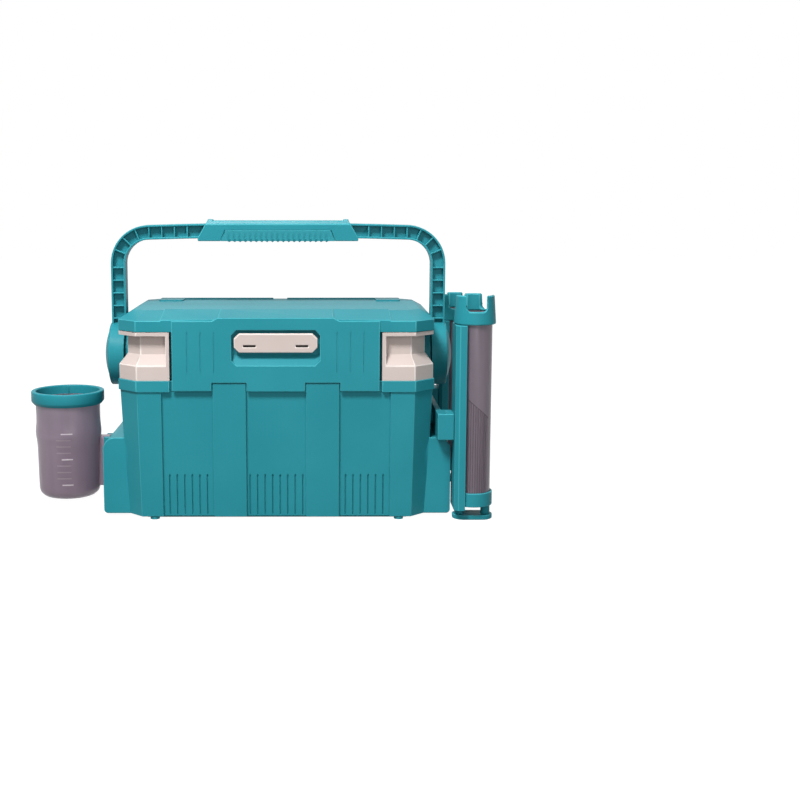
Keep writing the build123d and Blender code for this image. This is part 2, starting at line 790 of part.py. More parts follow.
# Latch plate: bevelled front, two slots, barrels between the lugs and a hook behind
with BuildPart() as latch_plate:
    with BuildSketch(front_plane(0, -latch_back, latch_middle)) as plate_outline:
        Rectangle(latch_width, latch_height)
        chamfer(plate_outline.vertices(), length=latch_corner)
    extrude(amount=latch_thick)
    chamfer(latch_plate.faces().sort_by(Axis.Y)[0].edges(), length=latch_bevel)
    with BuildSketch(front_plane(0, -apron_face, latch_middle - latch_slot_drop)):
        with GridLocations(latch_slot_spacing, 0, 2, 1):
            Rectangle(latch_slot_width, latch_slot_height)
    extrude(amount=-latch_slot_depth, mode=Mode.SUBTRACT)
    barrel_ends = (
        (-latch_pin_length / 2, -lug_spacing / 2 - lug_width / 2 - knuckle_gap),
        (-lug_spacing / 2 + lug_width / 2 + knuckle_gap, lug_spacing / 2 - lug_width / 2 - knuckle_gap),
        (lug_spacing / 2 + lug_width / 2 + knuckle_gap, latch_pin_length / 2),
    )
    for low, high in barrel_ends:
        with BuildSketch(side_plane(low, latch_axis_y, latch_axis_z)):
            Circle(latch_barrel_radius)
        extrude(amount=high - low)
    # room behind the plate for the lugs
    with BuildSketch(front_plane(0, -latch_back, latch_axis_z)):
        with GridLocations(lug_spacing, 0, 2, 1):
            Rectangle(lug_width + 2 * knuckle_gap, 2 * latch_axis_drop)
    extrude(amount=latch_barrel_radius - latch_axis_back + knuckle_gap, mode=Mode.SUBTRACT)
    with BuildSketch(side_plane(-latch_pin_length / 2, latch_axis_y, latch_axis_z)):
        Circle(latch_pin_radius + running_gap)
    extrude(amount=latch_pin_length, mode=Mode.SUBTRACT)
    hook_tip = neck_depth / 2 + keeper_depth + hook_reach_gap
    hook_level = latch_top - hook_drop
    with BuildSketch(side_plane(-hook_width / 2, 0, hook_level)):
        with BuildLine():
            Polyline(
                (-latch_back, -hook_thick / 2),
                (-hook_tip, -hook_thick / 2),
                (-hook_tip, hook_thick / 2 + hook_barb),
                (-hook_tip - hook_barb, hook_thick / 2 + hook_barb),
                (-hook_tip - hook_barb, hook_thick / 2),
                (-latch_back, hook_thick / 2),
                close=True,
            )
        make_face()
    extrude(amount=hook_width)

with BuildPart() as latch_pin:
    with BuildSketch(side_plane(-latch_pin_length / 2, latch_axis_y, latch_axis_z)):
        Circle(latch_pin_radius)
    extrude(amount=latch_pin_length)


def arch(depth):
    """Arch of the bail, its edge drawn in from the outside by the depth."""
    half_width = arm_outer - depth
    crest = bar_top - depth
    radius = handle_corner_radius - depth
    with BuildSketch(front_plane(0, pivot_y, 0)) as outline:
        with BuildLine():
            Line((-half_width, pivot_height), (-half_width, crest - radius))
            CenterArc((radius - half_width, crest - radius), radius, 180, -90)
            ThreePointArc(
                (radius - half_width, crest), (0, crest + handle_bow), (half_width - radius, crest)
            )
            CenterArc((half_width - radius, crest - radius), radius, 90, -90)
            Line((half_width, crest - radius), (half_width, pivot_height))
            Line((half_width, pivot_height), (-half_width, pivot_height))
        make_face()
    return outline.sketch


def bail_strip(low, high, thickness):
    """Strip of the bail between two depths, evenly thick about its middle plane."""
    with BuildPart() as strip:
        with BuildSketch(front_plane(0, pivot_y, 0)):
            add(arch(low))
            add(arch(high), mode=Mode.SUBTRACT)
        extrude(amount=thickness / 2, both=True)
    return strip.part


# Bail: two flanges, a web, cross ribs and a round hub at each end
corner_x = arm_outer - handle_corner_radius
corner_z = bar_top - handle_corner_radius
band_middle = handle_corner_radius - handle_band / 2
rib_span = handle_band - handle_flange
bar_rib_first = grip_bottom_width / 2 + bar_rib_lead
bar_rib_count = int((corner_x - bar_rib_first) / handle_rib_pitch) + 1
hub_bore = stub_radius + bush_wall + 2 * running_gap
with BuildPart() as handle_frame:
    add(bail_strip(0, handle_flange, handle_depth))
    add(bail_strip(handle_band - handle_flange, handle_band, handle_depth))
    add(bail_strip(0, handle_band, handle_web))
    with BuildSketch(front_plane(0, pivot_y, 0)):
        for side in (-1, 1):
            for step in range(arm_rib_count):
                with Locations((side * arm_middle, corner_z - (step + rib_lead_share) * handle_rib_pitch)):
                    Rectangle(rib_span, handle_rib)
            for step in range(bar_rib_count):
                rib_x = bar_rib_first + step * handle_rib_pitch
                with Locations((side * rib_x, bar_top - handle_band / 2)):
                    Rectangle(handle_rib, rib_span)
            for step in range(corner_rib_count):
                turn = 90 * (step + 1) / (corner_rib_count + 1)
                with Locations(Location((side * corner_x, corner_z, 0), (0, 0, 90 - side * turn))):
                    with Locations((band_middle, 0)):
                        Rectangle(rib_span, handle_rib)
    extrude(amount=handle_depth / 2 - handle_rib / 2, both=True)
    for side in (-1, 1):
        with BuildSketch(side_plane(side * arm_inner, pivot_y, pivot_height)):
            Circle(hub_radius)
        extrude(amount=side * handle_band)
        with BuildSketch(side_plane(side * arm_inner, pivot_y, pivot_height)):
            Circle(hub_bore)
        extrude(amount=side * handle_band, mode=Mode.SUBTRACT)
        with BuildSketch(side_plane(side * arm_outer, pivot_y, pivot_height)):
            Circle(hub_recess_radius)
        extrude(amount=-side * hub_recess_depth, mode=Mode.SUBTRACT)
    with BuildSketch(Plane.XY.offset(bar_under - grip_below)):
        with Locations((0, pivot_y)):
            with GridLocations(grip_screw_spacing, 0, 2, 1):
                Circle(grip_screw_radius + screw_gap)
    extrude(amount=grip_screw_length + screw_gap, mode=Mode.SUBTRACT)

# Bushes, screws and domed caps of the handle pivots
pivot_parts = {}
for side_name, side in (("left", -1), ("right", 1)):
    with BuildPart() as pivot_bush:
        with BuildSketch(side_plane(side * (arm_inner - part_gap / 2), pivot_y, pivot_height)):
            Circle(stub_radius + running_gap + bush_wall)
            Circle(stub_radius + running_gap, mode=Mode.SUBTRACT)
        extrude(amount=side * (handle_band - hub_recess_depth + part_gap / 2))
    with BuildPart() as pivot_screw:
        with BuildSketch(side_plane(side * (arm_inner + stub_length), pivot_y, pivot_height)):
            Circle(pivot_screw_radius)
        extrude(amount=-side * pivot_screw_depth)
        with BuildSketch(side_plane(side * (arm_inner + stub_length), pivot_y, pivot_height)):
            Circle(pivot_head_radius)
        extrude(amount=side * pivot_head_thick)
    cap_plane = Plane(
        origin=(side * arm_outer, pivot_y, pivot_height), x_dir=(0, 1, 0), z_dir=(0, 0, -side)
    )
    dome_radius = (hub_radius**2 + dome_rise**2) / (2 * dome_rise)
    hollow_radius = dome_radius - dome_wall
    hollow_rise = dome_rise - dome_wall
    hollow_edge = (hollow_radius**2 - (hollow_radius - hollow_rise) ** 2) ** 0.5
    with BuildPart() as pivot_cap:
        with BuildSketch(cap_plane):
            with BuildLine():
                Line((hollow_edge, 0), (hub_radius, 0))
                RadiusArc((hub_radius, 0), (0, dome_rise), -dome_radius)
                Line((0, dome_rise), (0, hollow_rise))
                RadiusArc((0, hollow_rise), (hollow_edge, 0), hollow_radius)
            make_face()
        revolve(axis=Axis((0, pivot_y, pivot_height), (1, 0, 0)))
    pivot_parts[f"pivot_bush_{side_name}"] = pivot_bush.part
    pivot_parts[f"pivot_screw_{side_name}"] = pivot_screw.part
    pivot_parts[f"pivot_cap_{side_name}"] = pivot_cap.part

# Grip pad: a ribbed channel clipped round the underside of the bar
grip_bottom = bar_under - grip_below
grip_top = bar_top + grip_above
with BuildPart() as grip_pad:
    with BuildSketch(front_plane(0, pivot_y, 0)):
        with BuildLine():
            Polyline(
                (-pad_bottom_width / 2, grip_bottom),
                (-pad_top_width / 2, grip_bottom + pad_height),
                (pad_top_width / 2, grip_bottom + pad_height),
                (pad_bottom_width / 2, grip_bottom),
                close=True,
            )
        make_face()
    extrude(amount=grip_depth / 2 + pad_proud, both=True)
    with BuildSketch(Plane.XY.offset(grip_bottom + grip_below)):
        with Locations((0, pivot_y)):
            Rectangle(pad_bottom_width, grip_depth - 2 * pad_thick)
    extrude(amount=pad_height, mode=Mode.SUBTRACT)
    with BuildSketch(front_plane(0, pivot_y, grip_bottom - scallop_radius / 2)):
        with GridLocations(scallop_pitch, 0, scallop_count, 1):
            Circle(scallop_radius)
    extrude(amount=grip_depth, both=True, mode=Mode.SUBTRACT)

# Grip shell round the bar, with slanted ends and a small lip at each top end
with BuildPart() as grip_shell:
    with BuildSketch(front_plane(0, pivot_y, 0)):
        with BuildLine():
            Polyline(
                (-grip_bottom_width / 2, grip_bottom),
                (-grip_bottom_width / 2, grip_bottom + grip_end_height),
                (-grip_top_width / 2, grip_top),
                (grip_top_width / 2, grip_top),
                (grip_bottom_width / 2, grip_bottom + grip_end_height),
                (grip_bottom_width / 2, grip_bottom),
                close=True,
            )
        make_face()
        with Locations((0, grip_top)):
            with GridLocations(grip_top_width - grip_lip_width, 0, 2, 1):
                Rectangle(grip_lip_width, 2 * grip_lip)
    extrude(amount=grip_depth / 2, both=True)
    # slanted edges along the top, front and rear
    with BuildSketch(side_plane(-grip_bottom_width / 2, pivot_y, grip_top)):
        for side in (-1, 1):
            with BuildLine():
                Polyline(
                    (side * grip_depth / 2, -grip_chamfer),
                    (side * (grip_depth / 2 - grip_chamfer - grip_lip), grip_lip),
                    (side * grip_depth / 2, grip_lip),
                    close=True,
                )
            make_face()
    extrude(amount=grip_bottom_width, mode=Mode.SUBTRACT)
    add(bail_strip(-grip_gap, handle_band + grip_gap, handle_depth + 2 * grip_gap), mode=Mode.SUBTRACT)
    with BuildSketch(front_plane(0, pivot_y, 0)):
        with BuildLine():
            Polyline(
                (-pad_bottom_width / 2, grip_bottom),
                (-pad_top_width / 2, grip_bottom + pad_height),
                (pad_top_width / 2, grip_bottom + pad_height),
                (pad_bottom_width / 2, grip_bottom),
                close=True,
            )
        make_face()
    extrude(amount=grip_depth / 2, both=True, mode=Mode.SUBTRACT)
    with BuildSketch(Plane.XY.offset(grip_bottom)):
        with Locations((0, pivot_y)):
            with GridLocations(grip_screw_spacing, 0, 2, 1):
                Circle(grip_screw_radius + screw_gap)
    extrude(amount=grip_screw_length, mode=Mode.SUBTRACT)
    with BuildSketch(Plane.XY.offset(grip_bottom)):
        with Locations((0, pivot_y)):
            with GridLocations(grip_screw_spacing, 0, 2, 1):
                Circle(grip_screw_head + screw_gap)
    extrude(amount=grip_screw_head_thick, mode=Mode.SUBTRACT)

with BuildPart() as grip_screws:
    with BuildSketch(Plane.XY.offset(grip_bottom)):
        with Locations((0, pivot_y)):
            with GridLocations(grip_screw_spacing, 0, 2, 1):
                Circle(grip_screw_radius)
    extrude(amount=grip_screw_length)
    with BuildSketch(Plane.XY.offset(grip_bottom)):
        with Locations((0, pivot_y)):
            with GridLocations(grip_screw_spacing, 0, 2, 1):
                Circle(grip_screw_head)
    extrude(amount=grip_screw_head_thick)

# Rail along the right side, with a slot near each end for a rod holder
with BuildPart() as side_rail:
    with BuildSketch(Plane.XY.offset(rail_bottom)):
        with Locations((rail_inner + rail_web / 2, 0)):
            Rectangle(rail_web, rail_length)
        with Locations((rail_inner + rail_thick / 2, 0)):
            with GridLocations(0, rail_length - rail_block, 1, 2):
                Rectangle(rail_thick, rail_block)
    extrude(amount=rail_height)
    with BuildSketch(side_plane(rail_inner, 0, rail_middle)):
        with GridLocations(rail_lug_spacing, 0, 2, 1):
            Circle(rail_lug_radius)
    extrude(amount=-(rail_inner_gap + tub_taper))
    add(tub_form.part, mode=Mode.SUBTRACT)
    for side in (-1, 1):
        slot_plane = Plane((rail_outer, side * rod_spacing / 2, tongue_bottom - slide_gap))
        slot_height = tongue_height + overrun
        slot = dovetail(slot_plane, tongue_root, tongue_tip, tongue_depth, slide_gap, slot_height)
        add(slot, mode=Mode.SUBTRACT)
    with BuildSketch(side_plane(rail_web_face, 0, rail_middle)):
        with GridLocations(rail_lug_spacing, 0, 2, 1):
            Circle(rail_screw_radius + screw_gap)
    extrude(amount=-(rail_web + rail_inner_gap + tub_taper), mode=Mode.SUBTRACT)
    with BuildSketch(side_plane(rail_web_face, 0, rail_middle)):
        with GridLocations(rail_lug_spacing, 0, 2, 1):
            Circle(rail_screw_head + screw_gap)
    extrude(amount=-rail_screw_head_thick, mode=Mode.SUBTRACT)

with BuildPart() as rail_screws:
    with BuildSketch(side_plane(rail_web_face, 0, rail_middle)):
        with GridLocations(rail_lug_spacing, 0, 2, 1):
            Circle(rail_screw_radius)
    extrude(amount=-(rail_web + rail_inner_gap + rail_screw_bite))
    with BuildSketch(side_plane(rail_web_face, 0, rail_middle)):
        with GridLocations(rail_lug_spacing, 0, 2, 1):
            Circle(rail_screw_head)
    extrude(amount=-rail_screw_head_thick)

# Rod holders: bracket, clear tube, notched collar, base ring and stirrup foot
bracket_reach = rod_tube_radius + slide_gap + bracket_side
rod_parts = {}
for end_name, rod_y, drop in (("front", -rod_spacing / 2, 0), ("rear", rod_spacing / 2, rod_rear_drop)):
    bracket_crest = bracket_top - drop
    tube_top = rod_tube_top - drop
    collar_bottom = bracket_crest + slide_gap
    with BuildPart() as rod_bracket:
        with BuildSketch(Plane.XY.offset(bracket_bottom)) as bracket_outline:
            with Locations((bracket_back + bracket_depth / 2, rod_y)):
                Rectangle(bracket_depth, 2 * bracket_reach)
            chamfer(bracket_outline.vertices().group_by(Axis.X)[0], length=bracket_corner)
            with Locations((rod_x, rod_y)):
                Circle(rod_tube_radius + slide_gap, mode=Mode.SUBTRACT)
        extrude(amount=bracket_crest - bracket_bottom)
        with BuildSketch(Plane.XY.offset(bracket_bottom)):
            with Locations((rod_x, rod_y)):
                Circle(ring_radius + slide_gap)
        extrude(amount=ring_top + slide_gap - bracket_bottom, mode=Mode.SUBTRACT)
        tongue_plane = Plane((bracket_back, rod_y, tongue_bottom))
        add(dovetail(tongue_plane, tongue_root, tongue_tip, tongue_depth + part_gap, 0, tongue_height))
    with BuildPart() as rod_tube:
        with BuildSketch(Plane.XY.offset(ring_bottom + ring_floor)):
            with Locations((rod_x, rod_y)):
                Circle(rod_tube_radius)
        extrude(amount=tube_top - ring_bottom - ring_floor)
        # upright ribs on the open side, cut off along a slope
        for step in range(rod_rib_count):
            step_share = step / (rod_rib_count - 1)
            turn = rod_rib_first_angle + step_share * (rod_rib_last_angle - rod_rib_first_angle)
            with BuildSketch(Plane.XY.offset(ring_top)):
                with Locations(Location((rod_x, rod_y, 0), (0, 0, turn if rod_y > 0 else -turn))):
                    with Locations((rod_tube_radius, 0)):
                        Rectangle(2 * rod_rib_proud, rod_rib)
            extrude(amount=rod_rib_top - rod_rib_slant * (1 - step_share) - ring_top)
        with BuildSketch(Plane.XY.offset(ring_bottom + ring_floor)):
            with Locations((rod_x, rod_y)):
                Circle(rod_tube_radius - rod_tube_wall)
        extrude(amount=tube_top, mode=Mode.SUBTRACT)
    with BuildPart() as rod_collar:
        with BuildSketch(Plane.XY.offset(collar_bottom)):
            with Locations((rod_x, rod_y)):
                Circle(collar_radius)
        with BuildSketch(Plane.XY.offset(collar_bottom + collar_height)):
            with Locations((rod_x, rod_y)):
                Circle(collar_top_radius)
        loft()
        with BuildSketch(Plane.XY.offset(collar_bottom)):
            with Locations((rod_x, rod_y)):
                Circle(rod_tube_radius + slide_gap)
        extrude(amount=tube_top + slide_gap - collar_bottom, mode=Mode.SUBTRACT)
        with BuildSketch(Plane.XY.offset(collar_bottom)):
            with Locations((rod_x, rod_y)):
                Circle(rod_tube_radius - rod_tube_wall)
        extrude(amount=collar_height, mode=Mode.SUBTRACT)
        notch_plane = Plane(origin=(rod_x, rod_y, collar_bottom + collar_height - collar_notch_depth))
        for notch in range(collar_teeth):
            across = notch_plane.rotated((0, 0, 360 * notch / collar_teeth))
            with BuildSketch(Plane(origin=across.origin, x_dir=across.x_dir, z_dir=-across.y_dir)):
                with Locations((0, collar_notch_depth)):
                    RectangleRounded(collar_notch_width, 2 * collar_notch_depth, collar_notch_radius)
            extrude(amount=2 * collar_radius, mode=Mode.SUBTRACT)
    with BuildPart() as rod_base_ring:
        with BuildSketch(Plane.XY.offset(ring_bottom)):
            with Locations((rod_x, rod_y)):
                Circle(ring_radius)
                Circle(drain_radius, mode=Mode.SUBTRACT)
        extrude(amount=ring_height)
        with BuildSketch(Plane.XY.offset(ring_bottom + ring_floor)):
            with Locations((rod_x, rod_y)):
                Circle(rod_tube_radius + screw_gap)
        extrude(amount=ring_height, mode=Mode.SUBTRACT)
    with BuildPart() as rod_foot:
        with BuildSketch(Plane.XY):
            with Locations((rod_x, rod_y)):
                SlotOverall(rod_foot_length, rod_foot_width)
        extrude(amount=rod_foot_plate)
        with BuildSketch(Plane.XY.offset(rod_foot_plate)):
            with Locations((rod_x, rod_y)):
                with GridLocations(rod_post_spacing, 0, 2, 1):
                    Circle(rod_post_radius)
        extrude(amount=rod_foot_height - rod_foot_plate)
    rod_parts[f"rod_bracket_{end_name}"] = rod_bracket.part
    rod_parts[f"rod_tube_{end_name}"] = rod_tube.part
    rod_parts[f"rod_collar_{end_name}"] = rod_collar.part
    rod_parts[f"rod_base_ring_{end_name}"] = rod_base_ring.part
    rod_parts[f"rod_foot_{end_name}"] = rod_foot.part

# Cup: a tapering beaker with a tongue on the side that hangs it on its bracket
tongue_face = -cup_bracket_face
with BuildPart() as cup_room:
    with BuildSketch(Plane.XY.offset(cup_bottom + cup_wall)):
        with Locations((cup_x, cup_y)):
            Circle(cup_bottom_radius - cup_wall)
    with BuildSketch(Plane.XY.offset(cup_top)):
        with Locations((cup_x, cup_y)):
            Circle(cup_top_radius - cup_wall)
    loft()
    fillet(cup_room.edges().sort_by(Axis.Z)[0], radius=cup_foot_radius - cup_wall)

with BuildPart() as cup:
    with BuildSketch(Plane.XY.offset(cup_bottom)):
        with Locations((cup_x, cup_y)):
            Circle(cup_bottom_radius)
    with BuildSketch(Plane.XY.offset(cup_top)):
        with Locations((cup_x, cup_y)):
            Circle(cup_top_radius)
    loft()
    fillet(cup.edges().sort_by(Axis.Z)[0], radius=cup_foot_radius)
    with BuildSketch(Plane.XY.offset(cup_tongue_bottom)):
        neck_length = tongue_face + cup_tongue_depth - cup_x
        with Locations((cup_x + neck_length / 2, cup_y)):
            Rectangle(neck_length, cup_tongue_root)
    extrude(amount=cup_tongue_height)
    tongue_plane = Plane(origin=(tongue_face, cup_y, cup_tongue_bottom), x_dir=(-1, 0, 0), z_dir=(0, 0, 1))
    add(dovetail(tongue_plane, cup_tongue_root, cup_tongue_tip, cup_tongue_depth, 0, cup_tongue_height))
    add(cup_room.part, mode=Mode.SUBTRACT)

with BuildPart() as cup_ring:
    ring_base = cup_top + cup_ring_lip - cup_ring_height
    with BuildSketch(Plane.XY.offset(ring_base)):
        with Locations((cup_x, cup_y)):
            Circle(cup_ring_radius)
            Circle(cup_ring_inner, mode=Mode.SUBTRACT)
    extrude(amount=cup_ring_height)
    with BuildSketch(Plane.XY.offset(ring_base)):
        with Locations((cup_x, cup_y)):
            Circle(cup_top_radius + slide_gap / 2)
    extrude(amount=cup_ring_height - cup_ring_lip, mode=Mode.SUBTRACT)

with BuildPart() as cup_bracket:
    bracket_thick = cup_bracket_face - skirt_edge
    with BuildSketch(Plane.XY.offset(cup_bracket_bottom)):
        with Locations((-skirt_edge - bracket_thick / 2, cup_y)):
            Rectangle(bracket_thick, cup_bracket_width)
    extrude(amount=cup_bracket_floor + slide_gap + cup_tongue_height)
    slot_plane = Plane(
        origin=(tongue_face, cup_y, cup_tongue_bottom - slide_gap), x_dir=(-1, 0, 0), z_dir=(0, 0, 1)
    )
    slot_height = cup_tongue_height + overrun
    slot = dovetail(slot_plane, cup_tongue_root, cup_tongue_tip, cup_tongue_depth, slide_gap, slot_height)
    add(slot, mode=Mode.SUBTRACT)
    with BuildSketch(side_plane(-skirt_edge, cup_y, cup_screw_height)):
        with GridLocations(0, cup_screw_spacing, 1, 2):
            Circle(cup_screw_radius + screw_gap)
    extrude(amount=-cup_bracket_base, mode=Mode.SUBTRACT)
    with BuildSketch(side_plane(-skirt_edge - cup_bracket_base, cup_y, cup_screw_height)):
        with GridLocations(0, cup_screw_spacing, 1, 2):
            Circle(cup_screw_head + screw_gap)
    extrude(amount=cup_screw_head_thick + screw_gap, mode=Mode.SUBTRACT)

with BuildPart() as cup_screws:
    head_face = -skirt_edge - cup_bracket_base
    with BuildSketch(side_plane(head_face, cup_y, cup_screw_height)):
        with GridLocations(0, cup_screw_spacing, 1, 2):
            Circle(cup_screw_radius)
    extrude(amount=cup_screw_length)
    with BuildSketch(side_plane(head_face, cup_y, cup_screw_height)):
        with GridLocations(0, cup_screw_spacing, 1, 2):
            Circle(cup_screw_head)
    extrude(amount=cup_screw_head_thick)

part_nodes = {
    "tub": tub.part,
    "feet": feet.part,
    **corner_panels,
    "lid": lid.part,
    "lid_seal": lid_seal.part,
    "hinge_pins": hinge_pins.part,
    "latch_plate": latch_plate.part,
    "latch_pin": latch_pin.part,
    "handle_frame": handle_frame.part,
    "grip_shell": grip_shell.part,
    "grip_pad": grip_pad.part,
    "grip_screws": grip_screws.part,
    **pivot_parts,
    "side_rail": side_rail.part,
    "rail_screws": rail_screws.part,
    **rod_parts,
    "cup": cup.part,
    "cup_ring": cup_ring.part,
    "cup_bracket": cup_bracket.part,
    "cup_screws": cup_screws.part,
}

os.makedirs("parts", exist_ok=True)
for name, solid in part_nodes.items():
    solid.label = name
    export_step(solid, f"parts/{name}.step")
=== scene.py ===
"""Looks of a moulded tackle box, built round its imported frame.

Lengths are metres. X runs to the right, the front faces -Y and Z is up.
"""

import json
import logging
import math
from dataclasses import dataclass
from enum import Enum
from typing import Callable, Optional, Sequence

import bmesh
import bpy
from mathutils import Matrix, Vector

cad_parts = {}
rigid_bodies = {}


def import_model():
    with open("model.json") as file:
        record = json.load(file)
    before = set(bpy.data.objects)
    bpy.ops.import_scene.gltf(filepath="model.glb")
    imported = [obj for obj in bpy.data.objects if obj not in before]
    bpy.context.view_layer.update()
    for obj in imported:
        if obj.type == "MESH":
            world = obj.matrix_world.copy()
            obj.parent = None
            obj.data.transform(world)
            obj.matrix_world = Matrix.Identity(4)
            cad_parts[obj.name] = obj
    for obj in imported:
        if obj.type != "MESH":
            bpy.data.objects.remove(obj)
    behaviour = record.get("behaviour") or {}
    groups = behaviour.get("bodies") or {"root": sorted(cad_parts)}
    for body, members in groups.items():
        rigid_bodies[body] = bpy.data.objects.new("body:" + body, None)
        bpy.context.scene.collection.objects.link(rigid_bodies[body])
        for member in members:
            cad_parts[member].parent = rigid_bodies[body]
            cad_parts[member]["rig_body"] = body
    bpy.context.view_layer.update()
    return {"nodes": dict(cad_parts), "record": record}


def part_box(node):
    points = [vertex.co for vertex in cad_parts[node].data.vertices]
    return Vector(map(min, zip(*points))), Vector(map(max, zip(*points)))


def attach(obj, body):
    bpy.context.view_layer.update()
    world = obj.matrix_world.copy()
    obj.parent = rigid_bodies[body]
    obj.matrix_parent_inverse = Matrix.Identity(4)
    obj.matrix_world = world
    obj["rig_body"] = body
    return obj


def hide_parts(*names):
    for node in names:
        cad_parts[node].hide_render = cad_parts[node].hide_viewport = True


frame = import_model()
log = logging.getLogger("tackle_box")

Colour = tuple[float, float, float]
Place = tuple[float, float, float]
MM = 0.001
FULL_TURN = 2 * math.pi
UP = Vector((0, 0, 1))
FRONT = Vector((0, -1, 0))
WELD = 0.01 * MM
CAD_WELD = 0.002 * MM
ROUND_STEPS = 96


class Slot(Enum):
    """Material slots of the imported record."""

    TEAL_PLASTIC = "teal_plastic"
    TEAL_RUBBER = "teal_rubber"
    CREAM_PLASTIC = "cream_plastic"
    SMOKE_PLASTIC = "smoke_plastic"
    FOOT_RUBBER = "foot_rubber"
    BUSH_PLASTIC = "bush_plastic"
    STEEL = "steel"


class NodeSheet:
    """Node tree of one new material, with its shader and Object coordinates at hand."""

    noise_band = (0.3, 0.7)
    bump_strength = 0.5
    mix_colours = (6, 7)
    mix_result = 2

    def __init__(self, name: str) -> None:
        """Starts a material.

        Args:
            name: Name of the material.
        """
        self.material = bpy.data.materials.new(name)
        self.material.use_nodes = True
        self.tree = self.material.node_tree
        self.shader = self.tree.nodes["Principled BSDF"]
        self.coords = self.tree.nodes.new("ShaderNodeTexCoord").outputs["Object"]

    def link(self, source: bpy.types.NodeSocket, target: bpy.types.NodeSocket) -> None:
        """Joins an output to an input."""
        self.tree.links.new(source, target)

    def stretched(self, scale: Sequence[float]) -> bpy.types.NodeSocket:
        """Scales the Object coordinates.

        Args:
            scale: Factor along X, Y and Z.

        Returns:
            Output with the scaled coordinates.
        """
        node = self.tree.nodes.new("ShaderNodeMapping")
        node.inputs["Scale"].default_value = scale
        self.link(self.coords, node.inputs["Vector"])
        return node.outputs["Vector"]

    def noise(
        self, scale: float, detail: float = 3.0, coords: Optional[bpy.types.NodeSocket] = None
    ) -> bpy.types.NodeSocket:
        """Adds a noise texture.

        Args:
            scale: Spots per metre.
            detail: Octaves of finer noise.
            coords: Coordinates to read in place of the plain ones.

        Returns:
            Output with the noise value.
        """
        node = self.tree.nodes.new("ShaderNodeTexNoise")
        node.inputs["Scale"].default_value = scale
        node.inputs["Detail"].default_value = detail
        self.link(coords or self.coords, node.inputs["Vector"])
        return node.outputs["Fac"]

    def spread(self, source: bpy.types.NodeSocket, low: float, high: float) -> bpy.types.NodeSocket:
        """Maps the useful middle of a noise value onto a range.

        Args:
            source: Noise value.
            low: Result at the dark end.
            high: Result at the light end.

        Returns:
            Output with the mapped value.
        """
        node = self.tree.nodes.new("ShaderNodeMapRange")
        first, last = self.noise_band
        node.inputs["From Min"].default_value = first
        node.inputs["From Max"].default_value = last
        node.inputs["To Min"].default_value = low
        node.inputs["To Max"].default_value = high
        self.link(source, node.inputs["Value"])
        return node.outputs["Result"]

    def between(self, factor: bpy.types.NodeSocket, first: Colour, second: Colour) -> bpy.types.NodeSocket:
        """Mixes two colours.

        Args:
            factor: Share of the second colour.
            first: Colour at zero.
            second: Colour at one.

        Returns:
            Output with the mixed colour.
        """
        node = self.tree.nodes.new("ShaderNodeMix")
        node.data_type = "RGBA"
        node.inputs["Factor"].default_value = 0.0
        for index, colour in zip(self.mix_colours, (first, second)):
            node.inputs[index].default_value = (*colour, 1.0)
        self.link(factor, node.inputs["Factor"])
        return node.outputs[self.mix_result]

    def relief(self, height: bpy.types.NodeSocket, depth: float) -> None:
        """Bumps the surface by a height value.

        Args:
            height: Height from 0 to 1.
            depth: Depth of the relief.
        """
        node = self.tree.nodes.new("ShaderNodeBump")
        node.inputs["Strength"].default_value = self.bump_strength
        node.inputs["Distance"].default_value = depth
        self.link(height, node.inputs["Height"])
        self.link(node.outputs["Normal"], self.shader.inputs["Normal"])

    def set(self, **sockets: float | Colour) -> None:
        """Sets constant values on the shader's own sockets."""
        for name, value in sockets.items():
            self.shader.inputs[name.replace("_", " ")].default_value = value


@dataclass(frozen=True)
class MouldedPlastic:
    """Satin moulded plastic with a fine grain and faint clouds in its colour."""

    name: str
    dark: Colour
    light: Colour
    rough_low: float = 0.36
    rough_high: float = 0.5
    cloud_scale: float = 11.0
    grain_scale: float = 1300.0
    grain_depth: float = 0.00012
    gloss: float = 0.1
    grain_detail: float = 2.0

    def material(self) -> bpy.types.Material:
        """Makes the material."""
        sheet = NodeSheet(self.name)
        clouds = sheet.spread(sheet.noise(self.cloud_scale), 0.0, 1.0)
        sheet.link(sheet.between(clouds, self.dark, self.light), sheet.shader.inputs["Base Color"])
        grain = sheet.noise(self.grain_scale, self.grain_detail)
        rough = sheet.spread(grain, self.rough_low, self.rough_high)
        sheet.link(rough, sheet.shader.inputs["Roughness"])
        sheet.relief(grain, self.grain_depth)
        sheet.set(Specular_IOR_Level=self.gloss)
        return sheet.material


@dataclass(frozen=True)
class SmokedPlastic:
    """Translucent tinted plastic with upright flow streaks."""

    name: str
    dark: Colour
    light: Colour
    see_through: float
    roughness: float = 0.3
    milkiness: float = 0.4
    scatter: float = 0.015
    scatter_radius: Colour = (1.0, 1.0, 1.0)
    refraction: float = 1.46
    streak_scale: float = 60.0
    streak_stretch: float = 0.06
    streak_detail: float = 3.0
    streak_depth: float = 0.0004

    def material(self) -> bpy.types.Material:
        """Makes the material."""
        sheet = NodeSheet(self.name)
        upright = sheet.stretched((1.0, 1.0, self.streak_stretch))
        streaks = sheet.noise(self.streak_scale, self.streak_detail, upright)
        tint = sheet.between(sheet.spread(streaks, 0.0, 1.0), self.dark, self.light)
        sheet.link(tint, sheet.shader.inputs["Base Color"])
        sheet.relief(streaks, self.streak_depth)
        sheet.set(Roughness=self.roughness, Transmission_Weight=self.see_through, IOR=self.refraction)
        sheet.set(
            Subsurface_Weight=self.milkiness,
            Subsurface_Radius=self.scatter_radius,
            Subsurface_Scale=self.scatter,
        )
        return sheet.material


